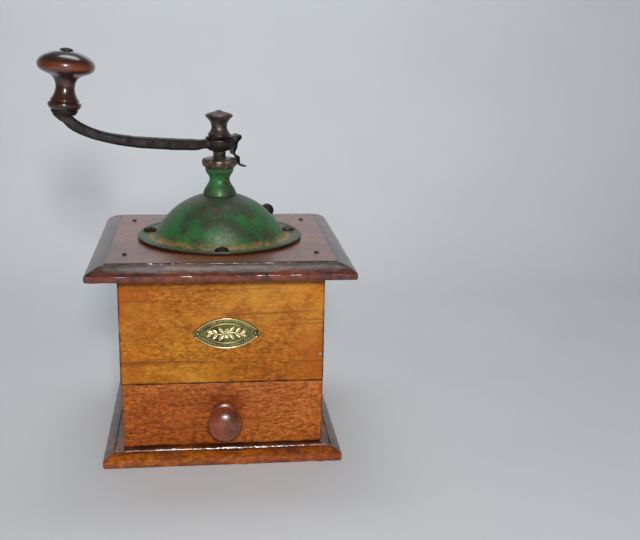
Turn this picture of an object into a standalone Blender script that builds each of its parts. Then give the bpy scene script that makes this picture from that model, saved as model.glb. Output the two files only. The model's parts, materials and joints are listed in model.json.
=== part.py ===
"""Hand crank coffee grinder: a wooden box mill with a moulded top and base board, a drawer,
a sheet-steel hopper dome with a sliding filler hatch, and an iron crank with a turned knob.

Lengths in this file are millimetres and angles are degrees; the helpers make every mesh in
metres. +Z is up, the drawer faces -Y, and the origin is the centre of the base's underside.
A distance s is measured outward from the crank's axis in the upright plane of the crank.
"""

import math

import bmesh
import bpy
from mathutils import Matrix, Vector

MM = 0.001
GAP = 0.3                    # clearance between pieces that touch

# Wooden case
CASE_HALF = 62.5             # half the width and half the depth of the box
WALL = 8.0                   # thickness of the box's boards
BASE_TOP = 8.7
TOP_LOW, TOP_HIGH = 120.1, 129.3
BASE_HALF, BASE_FLAT, BASE_NOSE = 73.9, 66.1, 4.7
TOP_HALF, TOP_FLAT, TOP_NOSE = 79.85, 68.55, 3.7
QUIRK_WIDTH, QUIRK_DROP = 2.0, 0.6
TOP_HOLE = 38.0              # radius of the round opening under the dome
PANEL_LOW = 50.7             # lower edge of the fixed front panel

# Drawer
DRAWER_TOP = 50.4
DRAWER_WALL, DRAWER_WALL_TOP = 6.0, 45.5
DRAWER_BOTTOM = 3.6
DRAWER_BACK_Y = 49.7
DRAWER_KNOB_AT = (0.8, 29.0)

# Hopper dome
DOME_CENTRE, DOME_RADIUS, SHEET = 112.3, 46.0, 0.9
DOME_HOLE = 6.4
FLANGE_LOW = TOP_HIGH + GAP
FLANGE_RADIUS, ROLL_RADIUS = 53.5, 0.95
DOME_SCREW_CIRCLE, DOME_SCREW_AZIMUTHS = 47.1, (13, 90, 167, 270)
FILLER_FROM, FILLER_TO = 20.0, 98.0
FILLER_LOW, FILLER_HIGH = 136.0, 152.0

# Sliding hatch
HATCH_RADIUS = 44.6
HATCH_FROM, HATCH_TO = 14.0, 104.0
HATCH_RIM, HATCH_EYE = 38.9, 14.0
HATCH_KNOB_AZIMUTH, HATCH_KNOB_LIFT = 25.5, 41.0

# Neck bearing, adjusting nut and shaft
SHAFT_RADIUS = 4.3
BORE = SHAFT_RADIUS + GAP
NECK_TOP = 174.7
SPIGOT_RADIUS, SPIGOT_LIP = 6.0, 7.4
NUT_LOW, NUT_HIGH, NUT_LOBES = 175.0, 180.9, 8
BOSS_LOW, BOSS_HIGH, BOSS_RADIUS = 186.0, 193.5, 9.7
SQUARE = 6.0                 # side of the shaft's square end
STUD_RADIUS, STUD_TOP = 3.2, 202.0
SHAFT_SHOULDER, SHAFT_FOOT = 92.4, 53.5
BURR_SEAT_RADIUS, PILOT_RADIUS = 3.8, 3.0

# Grinding burrs
BURR_LOW, BURR_HIGH = 74.0, 91.0
HOUSING_LOW, HOUSING_FLANGE = 72.0, 50.0
RING_RADIUS = 19.7
LUG_X, LUG_RADIUS = 27.0, 4.6

# Crank
CRANK_AZIMUTH = 198.0
KNOB_FOOT = (97.2, 211.2)    # (s, z) of the knob's underside
KNOB_LEAN = 5.1              # the knob's axis leans inward
RIVET_RADIUS = 2.3

# Clip spring
STRIP_THICK, STRIP_WIDTH = 0.9, 9.5
CLIP_BEND = (11.6, 195.0)    # (s, z) where the leaf flexes

# Badge
BADGE_LONG, BADGE_TALL, BADGE_THICK = 42.0, 20.0, 1.1
BADGE_AT = (2.3, 82.8)
BADGE_PIN_SPREAD = 17.6

FINISHES = {
    "golden_beech": ((0.50, 0.20, 0.024), 0.45, 0.0),
    "red_brown_wood": ((0.37, 0.102, 0.022), 0.42, 0.0),
    "worn_board": ((0.26, 0.13, 0.07), 0.5, 0.0),
    "dark_varnish": ((0.10, 0.026, 0.010), 0.25, 0.0),
    "plain_wood": ((0.42, 0.24, 0.11), 0.6, 0.0),
    "green_paint": ((0.055, 0.21, 0.07), 0.45, 0.3),
    "dark_iron": ((0.06, 0.048, 0.044), 0.4, 0.9),
    "worn_steel": ((0.22, 0.20, 0.18), 0.4, 1.0),
    "aged_brass": ((0.23, 0.24, 0.10), 0.45, 0.8),
}


# ---------------------------------------------------------------- scene and objects

def clear_scene():
    for thing in list(bpy.data.objects):
        bpy.data.objects.remove(thing, do_unlink=True)


def new_collection(name):
    group = bpy.data.collections.new(name)
    bpy.context.scene.collection.children.link(group)
    return group


clear_scene()
PARTS = new_collection("hand_crank_coffee_grinder")
CUTTERS = new_collection("cutters")


def put(thing, at=(0, 0, 0), turn=(0, 0, 0), parent=None):
    """Place an object: millimetres, degrees, and the empty that it hangs on."""
    thing.location = [value * MM for value in at]
    thing.rotation_euler = [math.radians(value) for value in turn]
    thing.parent = parent
    return thing


def part(name, mesh, finish, **place):
    """A finished piece with its own material."""
    colour, roughness, metallic = FINISHES[finish]
    paint = bpy.data.materials.new(name + "_" + finish)
    paint.use_nodes = True
    shader = paint.node_tree.nodes["Principled BSDF"]
    shader.inputs["Base Color"].default_value = (*colour, 1.0)
    shader.inputs["Roughness"].default_value = roughness
    shader.inputs["Metallic"].default_value = metallic
    mesh.materials.clear()
    mesh.materials.append(paint)
    made = bpy.data.objects.new(name, mesh)
    PARTS.objects.link(made)
    return put(made, **place)


def cutter(name, mesh, **place):
    """A helper solid that is joined to a piece or cut out of it."""
    made = bpy.data.objects.new(name, mesh)
    made.hide_render = True
    made.display_type = "WIRE"
    CUTTERS.objects.link(made)
    return put(made, **place)


def empty(name, **place):
    made = bpy.data.objects.new(name, None)
    PARTS.objects.link(made)
    return put(made, **place)


def combine(piece, other, operation="DIFFERENCE"):
    step = piece.modifiers.new(operation.lower(), "BOOLEAN")
    step.object = other
    step.operation = operation
    step.solver = "EXACT"
    return piece


def applied(piece):
    """The evaluated mesh of a piece, which is removed afterwards."""
    bpy.context.view_layer.update()
    graph = bpy.context.evaluated_depsgraph_get()
    mesh = bpy.data.meshes.new_from_object(piece.evaluated_get(graph))
    bpy.data.objects.remove(piece, do_unlink=True)
    return mesh


# ---------------------------------------------------------------- shapes

def arc(centre_r, centre_z, radius, start, end, count):
    """Points on a circular arc, both ends included."""
    turns = [math.radians(start + (end - start) * i / count) for i in range(count + 1)]
    return [(centre_r + radius * math.cos(t), centre_z + radius * math.sin(t)) for t in turns]


def flow(points, count=3):
    """A smooth curve through the given points, with count steps between neighbours."""
    ends = [points[0], *points, points[-1]]
    out = []
    for before, here, there, after in zip(ends, ends[1:], ends[2:], ends[3:]):
        for i in range(count):
            t = i / count
            out.append(tuple(
                0.5 * (2 * b + (c - a) * t + (2 * a - 5 * b + 4 * c - d) * t ** 2
                       + (3 * b - a - 3 * c + d) * t ** 3)
                for a, b, c, d in zip(before, here, there, after)))
    return out + [points[-1]]


def from_bmesh(name, bm):
    bmesh.ops.recalc_face_normals(bm, faces=bm.faces)
    mesh = bpy.data.meshes.new(name)
    bm.to_mesh(mesh)
    bm.free()
    return mesh


def block_mesh(name, size):
    bm = bmesh.new()
    scale = Matrix.Diagonal((size[0] * MM, size[1] * MM, size[2] * MM, 1.0))
    bmesh.ops.create_cube(bm, size=1.0, matrix=scale)
    return from_bmesh(name, bm)


def rods_mesh(name, centres, radius, low, high, sides=12):
    """Upright cylinders of one size at several places."""
    bm = bmesh.new()
    for x, y in centres:
        place = Matrix.Translation((x * MM, y * MM, (low + high) / 2 * MM))
        bmesh.ops.create_cone(bm, cap_ends=True, segments=sides, radius1=radius * MM,
                              radius2=radius * MM, depth=(high - low) * MM, matrix=place)
    return from_bmesh(name, bm)


def prism_mesh(name, outline, low, high):
    """A flat outline raised from one height to another."""
    bm = bmesh.new()
    face = bm.faces.new([bm.verts.new((x * MM, y * MM, low * MM)) for x, y in outline])
    raised = bmesh.ops.extrude_face_region(bm, geom=[face])["geom"]
    lift = Vector((0.0, 0.0, (high - low) * MM))
    bmesh.ops.translate(bm, vec=lift, verts=[v for v in raised if isinstance(v, bmesh.types.BMVert)])
    return from_bmesh(name, bm)


def loft_mesh(name, rings, around=False):
    """A skin over rings of equal count; around joins the last ring to the first."""
    bm = bmesh.new()
    rows = [[bm.verts.new([value * MM for value in point]) for point in ring] for ring in rings]
    pairs = list(zip(rows, rows[1:]))
    if around:
        pairs.append((rows[-1], rows[0]))
    else:
        bm.faces.new(rows[0])
        bm.faces.new(rows[-1])
    for lower, upper in pairs:
        for i in range(len(lower)):
            j = (i + 1) % len(lower)
            bm.faces.new((lower[i], lower[j], upper[j], upper[i]))
    return from_bmesh(name, bm)


def block(name, low, high, finish):
    """A board between two opposite corners."""
    size = [b - a for a, b in zip(low, high)]
    middle = [(a + b) / 2 for a, b in zip(low, high)]
    return part(name, block_mesh(name, size), finish, at=middle)


def outline_mesh(name, outline, ring):
    mesh = bpy.data.meshes.new(name)
    edges = [(i, i + 1) for i in range(len(outline) - 1)]
    if ring:
        edges.append((len(outline) - 1, 0))
    mesh.from_pydata([(r * MM, 0.0, z * MM) for r, z in outline], edges, [])
    return mesh


def turned(name, outline, finish, steps=24, ring=False, **place):
    """A turned piece. The outline of (radius, height) runs down its outer side.

    ring closes the outline on itself, for a piece with a bore."""
    piece = part(name, outline_mesh(name, outline, ring), finish, **place)
    spin = piece.modifiers.new("turn", "SCREW")
    spin.steps = spin.render_steps = steps
    spin.use_merge_vertices = True
    spin.merge_threshold = 1e-6
    return piece


def ribbon(name, path, width, thickness, finish, **place):
    """A bent strip: its centre line lies in the local XZ plane, its width along Y."""
    bm = bmesh.new()
    rows = [[bm.verts.new((s * MM, y * MM, z * MM)) for y in (-width / 2, width / 2)]
            for s, z in path]
    for (a, b), (d, c) in zip(rows, rows[1:]):
        bm.faces.new((a, b, c, d))
    mesh = bpy.data.meshes.new(name)
    bm.to_mesh(mesh)
    bm.free()
    piece = part(name, mesh, finish, **place)
    shell = piece.modifiers.new("thickness", "SOLIDIFY")
    shell.thickness = thickness * MM
    shell.offset = 0.0
    shell.use_even_offset = True
    return piece


def fastener_mesh(name, head_radius, head_height, shank_radius, length, slot=0.0, sides=12,
                  flat=False):
    """A screw or nail along local Z: the head's underside at 0, the shank below it."""
    if flat:
        head = [(0, 0), (head_radius, 0), (shank_radius, -head_height)]
    else:
        head = [(0, head_height), (0.75 * head_radius, 0.72 * head_height), (head_radius, 0),
                (shank_radius, 0)]
    outline = head + [(shank_radius, shank_radius - length), (0, -length)]
    blank = turned(name + "_blank", outline, "worn_steel", steps=sides)
    if slot:
        size = (3 * head_radius, slot, 0.9 * head_height)
        groove = cutter(name + "_groove", block_mesh(name + "_groove", size),
                        at=(0, 0, 0.0 if flat else head_height))
        combine(blank, groove)
        mesh = applied(blank)
        bpy.data.objects.remove(groove, do_unlink=True)
        return mesh
    return applied(blank)


def circle_points(radius, azimuths):
    return [(radius * math.cos(math.radians(a)), radius * math.sin(math.radians(a)))
            for a in azimuths]


# ---------------------------------------------------------------- wooden case

def moulded_board(name, low, high, flat, half, nose, finish):
    """A square board whose four edges are cut to a small step and a quarter round."""
    start = flat + QUIRK_WIDTH
    top = high - QUIRK_DROP
    wide, tall = half - start, top - (low + nose)
    rounds = [(start + wide * math.sin(t), top - tall * (1 - math.cos(t)))
              for t in [math.radians(18 * i) for i in range(6)]]
    outline = [(0, high), (flat, high), (flat + QUIRK_DROP, top), *rounds, (half, low), (0, low)]
    corner = math.sqrt(2.0)
    return turned(name, [(r * corner, z) for r, z in outline], finish, steps=4, turn=(0, 0, 45))


def make_case():
    inner = CASE_HALF - WALL
    foot, head = BASE_TOP + GAP, TOP_LOW - GAP
    base = moulded_board("base_board", 0.0, BASE_TOP, BASE_FLAT, BASE_HALF, BASE_NOSE,
                         "red_brown_wood")
    top = moulded_board("top_board", TOP_LOW, TOP_HIGH, TOP_FLAT, TOP_HALF, TOP_NOSE, "worn_board")
    combine(top, cutter("top_opening", rods_mesh("top_opening", [(0, 0)], TOP_HOLE, TOP_LOW - 5,
                                                 TOP_HIGH + 5, 40)))
    front = block("front_panel", (-CASE_HALF, -CASE_HALF, PANEL_LOW), (CASE_HALF, -inner, head),
                  "golden_beech")
    block("rear_panel", (-CASE_HALF, inner, foot), (CASE_HALF, CASE_HALF, head), "golden_beech")
    sides = []
    for name, sign in (("left_side", -1), ("right_side", 1)):
        edges = sorted((sign * inner, sign * CASE_HALF))
        sides.append(block(name, (edges[0], -inner + GAP, foot), (edges[1], inner - GAP, head),
                           "golden_beech"))
    return base, top, front, sides


def make_nails(base, top, front, sides):
    """Nails through the top board, a brad in the front panel and screws under the base."""
    nail_x, nail_y, length, radius = CASE_HALF - WALL / 2, 48.0, 18.0, 0.75
    places = [(sx * nail_x, sy * nail_y) for sx in (-1, 1) for sy in (-1, 1)]
    nail = fastener_mesh("nail", 1.7, 0.5, radius, length, sides=8)
    holes = cutter("nail_holes", rods_mesh("nail_holes", places, radius + GAP,
                                           TOP_HIGH - length - 1, TOP_HIGH + 1, 8))
    for number, (x, y) in enumerate(places, 1):
        part(f"top_nail_{number}", nail.copy(), "dark_iron", at=(x, y, TOP_HIGH + GAP))
    for piece in (top, *sides):
        combine(piece, holes)

    brad_x, brad_z = CASE_HALF - WALL / 4 - 0.1, 67.8
    part("front_brad", fastener_mesh("brad", 1.2, 0.4, 0.6, 13.0, sides=8), "worn_steel",
         at=(brad_x, -CASE_HALF - GAP, brad_z), turn=(90, 0, 0))
    brad_hole = cutter("brad_hole", rods_mesh("brad_hole", [(0, 0)], 0.95, -14.0, 2.0, 8),
                       at=(brad_x, -CASE_HALF, brad_z), turn=(90, 0, 0))
    for piece in (front, sides[1]):
        combine(piece, brad_hole)

    screw = fastener_mesh("base_screw", 3.4, 2.4, 1.5, 20.0, slot=0.8, flat=True)
    corners = [(sx * nail_x, sy * 44.0) for sx in (-1, 1) for sy in (-1, 1)]
    shafts = rods_mesh("base_screw_holes", corners, 1.5 + GAP, -1.0, 20.8, 10)
    shaft_holes = cutter("base_screw_holes", shafts)
    sinks = cutter("base_screw_sinks", rods_mesh("base_screw_sinks", corners, 3.4 + GAP, -1.0, 2.9, 12))
    for number, (x, y) in enumerate(corners, 1):
        part(f"base_screw_{number}", screw.copy(), "worn_steel", at=(x, y, 0.2), turn=(180, 0, 0))
    combine(base, sinks)
    for piece in (base, *sides):
        combine(piece, shaft_holes)


def badge_outline(long, tall):
    """A pointed oval made of two equal arcs, in the local XY plane."""
    half, rise = long / 2, tall / 2
    radius = (half ** 2 + rise ** 2) / (2 * rise)
    sweep = math.degrees(math.asin(half / radius))
    upper = arc(0, rise - radius, radius, 90 + sweep, 90 - sweep, 10)
    lower = arc(0, radius - rise, radius, 270 + sweep, 270 - sweep, 10)
    return upper[:-1] + lower[:-1]


def make_badge(front):
    x, z = BADGE_AT
    plate = part("badge_plate", prism_mesh("badge_plate", badge_outline(BADGE_LONG, BADGE_TALL),
                                           GAP, GAP + BADGE_THICK), "aged_brass",
                 at=(x, -CASE_HALF, z), turn=(90, 0, 0))
    spots = [(-BADGE_PIN_SPREAD, 0), (BADGE_PIN_SPREAD, 0)]
    holes = cutter("badge_pin_holes", rods_mesh("badge_pin_holes", spots, 1.0, -6.5, 3.0, 8),
                   at=(x, -CASE_HALF, z), turn=(90, 0, 0))
    combine(plate, holes)
    combine(front, holes)
    pin = fastener_mesh("badge_pin", 1.4, 0.7, 0.7, 7.0, sides=8)
    for number, (across, _) in enumerate(spots, 1):
        part(f"badge_pin_{number}", pin.copy(), "aged_brass",
             at=(x + across, -CASE_HALF - BADGE_THICK - 2 * GAP, z), turn=(90, 0, 0))


# ---------------------------------------------------------------- drawer

def make_drawer():
    """An open box behind a full-width front, with a turned knob tenoned through it."""
    slide = empty("drawer_slide_axis", at=(0, 0, BASE_TOP))
    face, low = -CASE_HALF + 0.2, BASE_TOP + GAP
    back_of_front = -CASE_HALF + WALL
    outer = CASE_HALF - WALL - 2 * GAP
    inner = outer - DRAWER_WALL
    start = back_of_front + GAP
    pieces = [
        block("drawer_front", (-CASE_HALF + 0.7, face, low), (CASE_HALF - 0.2, back_of_front,
                                                              DRAWER_TOP), "red_brown_wood"),
        block("drawer_left", (-outer, start, low), (-inner, DRAWER_BACK_Y, DRAWER_WALL_TOP),
              "plain_wood"),
        block("drawer_right", (inner, start, low), (outer, DRAWER_BACK_Y, DRAWER_WALL_TOP),
              "plain_wood"),
        block("drawer_back", (-inner + GAP, DRAWER_BACK_Y - DRAWER_WALL, low),
              (inner - GAP, DRAWER_BACK_Y, DRAWER_WALL_TOP), "plain_wood"),
        block("drawer_bottom", (-inner + GAP, start, low),
              (inner - GAP, DRAWER_BACK_Y - DRAWER_WALL - GAP, low + DRAWER_BOTTOM), "plain_wood"),
    ]
    x, z = DRAWER_KNOB_AT
    outline = [(0, 21.2), (5.2, 20.6), (9.3, 18.3), (10.8, 15.7), (9.9, 13.1), (6.3, 10.2),
               (5.6, 6.8), (6.2, 4.0), (7.8, 2.6), (9.0, 1.6), (9.0, GAP), (3.4, GAP),
               (3.4, -8.6), (0, -8.6)]
    pieces.append(turned("drawer_knob", outline, "dark_varnish", steps=20, at=(x, face, z),
                         turn=(90, 0, 0)))
    combine(pieces[0], cutter("knob_tenon_hole", rods_mesh("knob_tenon_hole", [(0, 0)], 3.8, -12,
                                                           4, 20),
                              at=(x, face, z), turn=(90, 0, 0)))
    bpy.context.view_layer.update()
    for piece in pieces:
        piece.location = piece.location - slide.location
        piece.parent = slide


# ---------------------------------------------------------------- hopper

def sphere_angle(radius, at_radius=None, at_height=None):
    """Elevation on a sphere about the dome's centre, from a radius or a height."""
    if at_radius is not None:
        return math.degrees(math.acos(at_radius / radius))
    return math.degrees(math.asin((at_height - DOME_CENTRE) / radius))


def sector_outline(inner, outer, start, end, count=12):
    """A slice of a disc between two radii, in the XY plane."""
    return arc(0, 0, outer, start, end, count) + arc(0, 0, inner, end, start, count)


def make_dome(top):
    flange_top = FLANGE_LOW + SHEET
    inner_radius = DOME_RADIUS - SHEET
    roll = (FLANGE_RADIUS - ROLL_RADIUS, FLANGE_LOW + ROLL_RADIUS)
    outline = arc(0, DOME_CENTRE, DOME_RADIUS, sphere_angle(DOME_RADIUS, at_radius=DOME_HOLE),
                  sphere_angle(DOME_RADIUS, at_height=flange_top), 8)
    outline += arc(*roll, ROLL_RADIUS, 180, -90, 5)
    outline += arc(0, DOME_CENTRE, inner_radius, sphere_angle(inner_radius, at_height=FLANGE_LOW),
                   sphere_angle(inner_radius, at_radius=DOME_HOLE), 7)
    dome = turned("hopper_dome", outline, "green_paint", steps=40, ring=True)
    filler = sector_outline(12.0, 60.0, FILLER_FROM, FILLER_TO)
    combine(dome, cutter("filler_opening", prism_mesh("filler_opening", filler, FILLER_LOW,
                                                      FILLER_HIGH)))
    spots = circle_points(DOME_SCREW_CIRCLE, DOME_SCREW_AZIMUTHS)
    head, shank, length = 4.4, 1.6, 9.5
    holes = cutter("dome_screw_holes", rods_mesh("dome_screw_holes", spots, shank + GAP,
                                                 TOP_HIGH - length + 0.5, flange_top + 3))
    combine(dome, holes)
    combine(top, holes)
    screw = fastener_mesh("dome_screw", head, 2.2, shank, length, slot=0.9)
    for number, (x, y) in enumerate(spots, 1):
        part(f"dome_screw_{number}", screw.copy(), "dark_iron", at=(x, y, flange_top + GAP),
             turn=(0, 0, 35 * number))


def make_hatch():
    """A curved plate inside the dome that turns about the neck to close the filler opening."""
    axis = empty("hatch_axis")
    inner_radius = HATCH_RADIUS - SHEET + 0.1
    rim = HATCH_RIM + 1.0
    shell = arc(0, DOME_CENTRE, HATCH_RADIUS, sphere_angle(HATCH_RADIUS, at_radius=DOME_HOLE),
                sphere_angle(HATCH_RADIUS, at_radius=rim), 7)
    shell += arc(0, DOME_CENTRE, inner_radius, sphere_angle(inner_radius, at_radius=rim),
                 sphere_angle(inner_radius, at_radius=DOME_HOLE), 7)
    hatch = turned("filler_hatch", shell, "green_paint", steps=40, ring=True, parent=axis)
    outline = arc(0, 0, HATCH_RIM, HATCH_FROM, HATCH_TO, 14)
    outline += arc(0, 0, HATCH_EYE, HATCH_TO, HATCH_FROM + 360, 18)
    combine(hatch, cutter("hatch_outline", prism_mesh("hatch_outline", outline, 120, 165),
                          parent=axis), "INTERSECT")
    aim = empty("hatch_knob_aim", at=(0, 0, DOME_CENTRE),
                turn=(0, 90 - HATCH_KNOB_LIFT, HATCH_KNOB_AZIMUTH), parent=axis)
    outline = [(0, 51.4), (2.4, 50.9), (4.0, 49.4), (4.6, 47.6), (4.4, 46.5), (1.6, 46.5),
               (1.6, 43.3), (2.7, 43.3), (2.4, 42.5), (0, 42.4)]
    turned("hatch_knob", outline, "dark_iron", steps=14, parent=aim)
    combine(hatch, cutter("hatch_knob_hole", rods_mesh("hatch_knob_hole", [(0, 0)], 2.0, 40, 48),
                          parent=aim))


def make_neck():
    """The cast neck that carries the shaft, riveted through the dome and the hatch's eye."""
    seat = DOME_RADIUS + GAP
    lip_top = 153.4
    bell = [(9.0, 173.9), (8.7, 172.2), (7.2, 169.8), (6.6, 167.4), (7.2, 164.6), (9.0, 161.6),
            (10.1, 159.6), (10.8, 157.4)]
    under = arc(0, DOME_CENTRE, seat, sphere_angle(seat, at_radius=10.7),
                sphere_angle(seat, at_radius=SPIGOT_RADIUS), 3)
    outline = [(BORE, NECK_TOP), (8.5, NECK_TOP), *bell, *under[1:], (SPIGOT_RADIUS, lip_top),
               (SPIGOT_LIP, lip_top), (SPIGOT_LIP - 0.5, lip_top - 1.2), (BORE, lip_top - 1.2)]
    turned("neck_bearing", outline, "green_paint", steps=22, ring=True)
    hole = SPIGOT_RADIUS + GAP + 0.1
    washer = [(hole, 154.7), (10.4, 154.7), (10.4, 153.7), (hole, 153.7)]
    turned("hatch_washer", washer, "worn_steel", steps=24, ring=True)


# ---------------------------------------------------------------- burrs under the top board

def toothed(radius, depth, teeth, height, twist):
    """A ring of points with pointed teeth; a negative depth points them inward."""
    out = []
    for i in range(2 * teeth):
        turn = math.radians(180.0 * i / teeth + twist)
        r = radius - (depth if i % 2 else 0.0)
        out.append((r * math.cos(turn), r * math.sin(turn), height))
    return out


def make_burrs(top):
    wall, lip = 4.0, 91.3
    inner = RING_RADIUS + GAP
    mouth = TOP_LOW - GAP
    outline = [(TOP_HOLE, mouth), (HOUSING_FLANGE, mouth), (HOUSING_FLANGE, mouth - 3.0),
               (42.0, mouth - 3.0), (inner + wall + 0.5, 95.0), (inner + wall, HOUSING_LOW),
               (inner, HOUSING_LOW), (inner, lip), (16.5, lip), (16.5, 94.5)]
    housing = turned("burr_housing", outline, "dark_iron", steps=28, ring=True)
    lugs = [(-LUG_X, 0), (LUG_X, 0)]
    combine(housing, cutter("housing_lugs", rods_mesh("housing_lugs", lugs, LUG_RADIUS, HOUSING_LOW,
                                                      84.0)), "UNION")
    combine(housing, cutter("lug_holes", rods_mesh("lug_holes", lugs, 1.8, HOUSING_LOW - 2, 81.0, 10)))
    bolts = circle_points(45.0, (60, 210, 325))
    bolt_holes = cutter("housing_screw_holes", rods_mesh("housing_screw_holes", bolts, 1.8,
                                                         mouth - 6, mouth + 7.2, 10))
    combine(housing, bolt_holes)
    combine(top, bolt_holes)
    screw = fastener_mesh("housing_screw", 3.2, 1.8, 1.5, 9.8, slot=0.8, sides=10)
    for number, (x, y) in enumerate(bolts, 1):
        part(f"housing_screw_{number}", screw.copy(), "worn_steel",
             at=(x, y, mouth - 3.0 - GAP), turn=(180, 0, 40 * number))

    teeth = 20
    ring = [toothed(14.6, 0.8, teeth, BURR_LOW, 0), toothed(13.6, 1.2, teeth, 82.0, 7),
            toothed(12.9, 2.0, teeth, BURR_HIGH, 16), toothed(RING_RADIUS, 0, teeth, BURR_HIGH, 16),
            toothed(RING_RADIUS, 0, teeth, BURR_LOW, 0)]
    part("ring_burr", loft_mesh("ring_burr", ring, around=True), "dark_iron")

    path = [(-31.5, 70.2), (-22.0, 70.2), (-15.0, 57.5), (15.0, 57.5), (22.0, 70.2), (31.5, 70.2)]
    stirrup = ribbon("bearing_stirrup", path, 10.0, 3.0, "dark_iron")
    combine(stirrup, cutter("stirrup_hub", rods_mesh("stirrup_hub", [(0, 0)], 7.0, 54.5, 62.0, 16)),
            "UNION")
    combine(stirrup, cutter("hub_bore", rods_mesh("hub_bore", [(0, 0)], PILOT_RADIUS + 0.4, 50, 66, 16)))
    combine(stirrup, cutter("stirrup_holes", rods_mesh("stirrup_holes", lugs, 1.8, 65, 73, 10)))
    screw = fastener_mesh("stirrup_screw", 3.2, 1.8, 1.5, 11.5, slot=0.8, sides=10)
    for number, (x, y) in enumerate(lugs, 1):
        part(f"stirrup_screw_{number}", screw.copy(), "worn_steel", at=(x, y, 68.7 - GAP),
             turn=(180, 0, 50 * number))


# ---------------------------------------------------------------- what turns with the crank

def make_spindle(crank):
    outline = [(0, STUD_TOP), (STUD_RADIUS - 0.4, STUD_TOP), (STUD_RADIUS, STUD_TOP - 0.5),
               (STUD_RADIUS, BOSS_LOW - GAP), (SHAFT_RADIUS - 0.3, BOSS_LOW - GAP),
               (SHAFT_RADIUS, BOSS_LOW - 0.8), (SHAFT_RADIUS, SHAFT_SHOULDER),
               (BURR_SEAT_RADIUS, SHAFT_SHOULDER), (BURR_SEAT_RADIUS, 66.0), (PILOT_RADIUS, 66.0),
               (PILOT_RADIUS, SHAFT_FOOT), (0, SHAFT_FOOT)]
    shaft = turned("spindle_shaft", outline, "dark_iron", steps=20, parent=crank)
    square_top = BOSS_HIGH - GAP
    square = block_mesh("shaft_square", (SQUARE, SQUARE, square_top - BOSS_LOW + 1.0))
    combine(shaft, cutter("shaft_square", square, parent=crank,
                          at=(0, 0, (square_top + BOSS_LOW - 1.0) / 2)), "UNION")

    bore = BURR_SEAT_RADIUS + GAP
    teeth, top = 14, SHAFT_SHOULDER - GAP
    levels = [(13.0, 0.9, BURR_LOW, 0), (11.6, 1.2, 80.0, 9), (9.3, 1.6, 86.0, 22),
              (6.8, 1.4, top, 40)]
    rings = [toothed(r, depth, teeth, z, twist) for r, depth, z, twist in levels]
    rings += [toothed(bore + 0.1, 0, teeth, top, 40), toothed(bore + 0.1, 0, teeth, BURR_LOW, 0)]
    part("cone_burr", loft_mesh("cone_burr", rings, around=True), "dark_iron", parent=crank)
    washer = [(bore, 73.7), (8.0, 73.7), (8.0, 72.6), (bore, 72.6)]
    turned("burr_washer", washer, "worn_steel", steps=20, ring=True, parent=crank)
    nut = part("burr_nut", rods_mesh("burr_nut", [(0, 0)], 7.4, 67.3, 72.3, 6), "worn_steel",
               parent=crank)
    combine(nut, cutter("burr_nut_bore", rods_mesh("burr_nut_bore", [(0, 0)], bore, 66, 74, 20),
                        parent=crank))


def make_adjusting_nut(crank):
    """A lobed nut that rests on the neck and carries the shaft on its thread."""
    outline = [(BORE, NUT_HIGH), (8.4, NUT_HIGH), (10.6, NUT_HIGH - 0.6), (11.2, NUT_HIGH - 1.4),
               (11.2, NUT_HIGH - 3.6), (10.7, NUT_HIGH - 4.9), (9.6, NUT_LOW), (BORE, NUT_LOW)]
    nut = turned("adjusting_nut", outline, "dark_iron", steps=32, ring=True, parent=crank)
    bm = bmesh.new()
    for i in range(NUT_LOBES):
        turn = Matrix.Rotation(math.radians(360.0 * (i + 0.5) / NUT_LOBES), 4, "Z")
        place = turn @ Matrix.Translation((11.2 * MM, 0, 178.0 * MM))
        size = Matrix.Diagonal((2.6 * MM, 1.1 * MM, 12 * MM, 1.0))
        bmesh.ops.create_cube(bm, size=1.0, matrix=place @ size)
    combine(nut, cutter("nut_slots", from_bmesh("nut_slots", bm), parent=crank))


def arm_section(s, z, slope, width, thick):
    """An eight-sided section across the crank arm, square to its centre line."""
    half, rise = width / 2, thick / 2
    cut = 0.3 * thick
    flat = [(-half, -rise + cut), (-half + cut, -rise), (half - cut, -rise), (half, -rise + cut),
            (half, rise - cut), (half - cut, rise), (-half + cut, rise), (-half, rise - cut)]
    lean = math.radians(slope)
    return [(s - up * math.sin(lean), across, z + up * math.cos(lean)) for across, up in flat]


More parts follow.
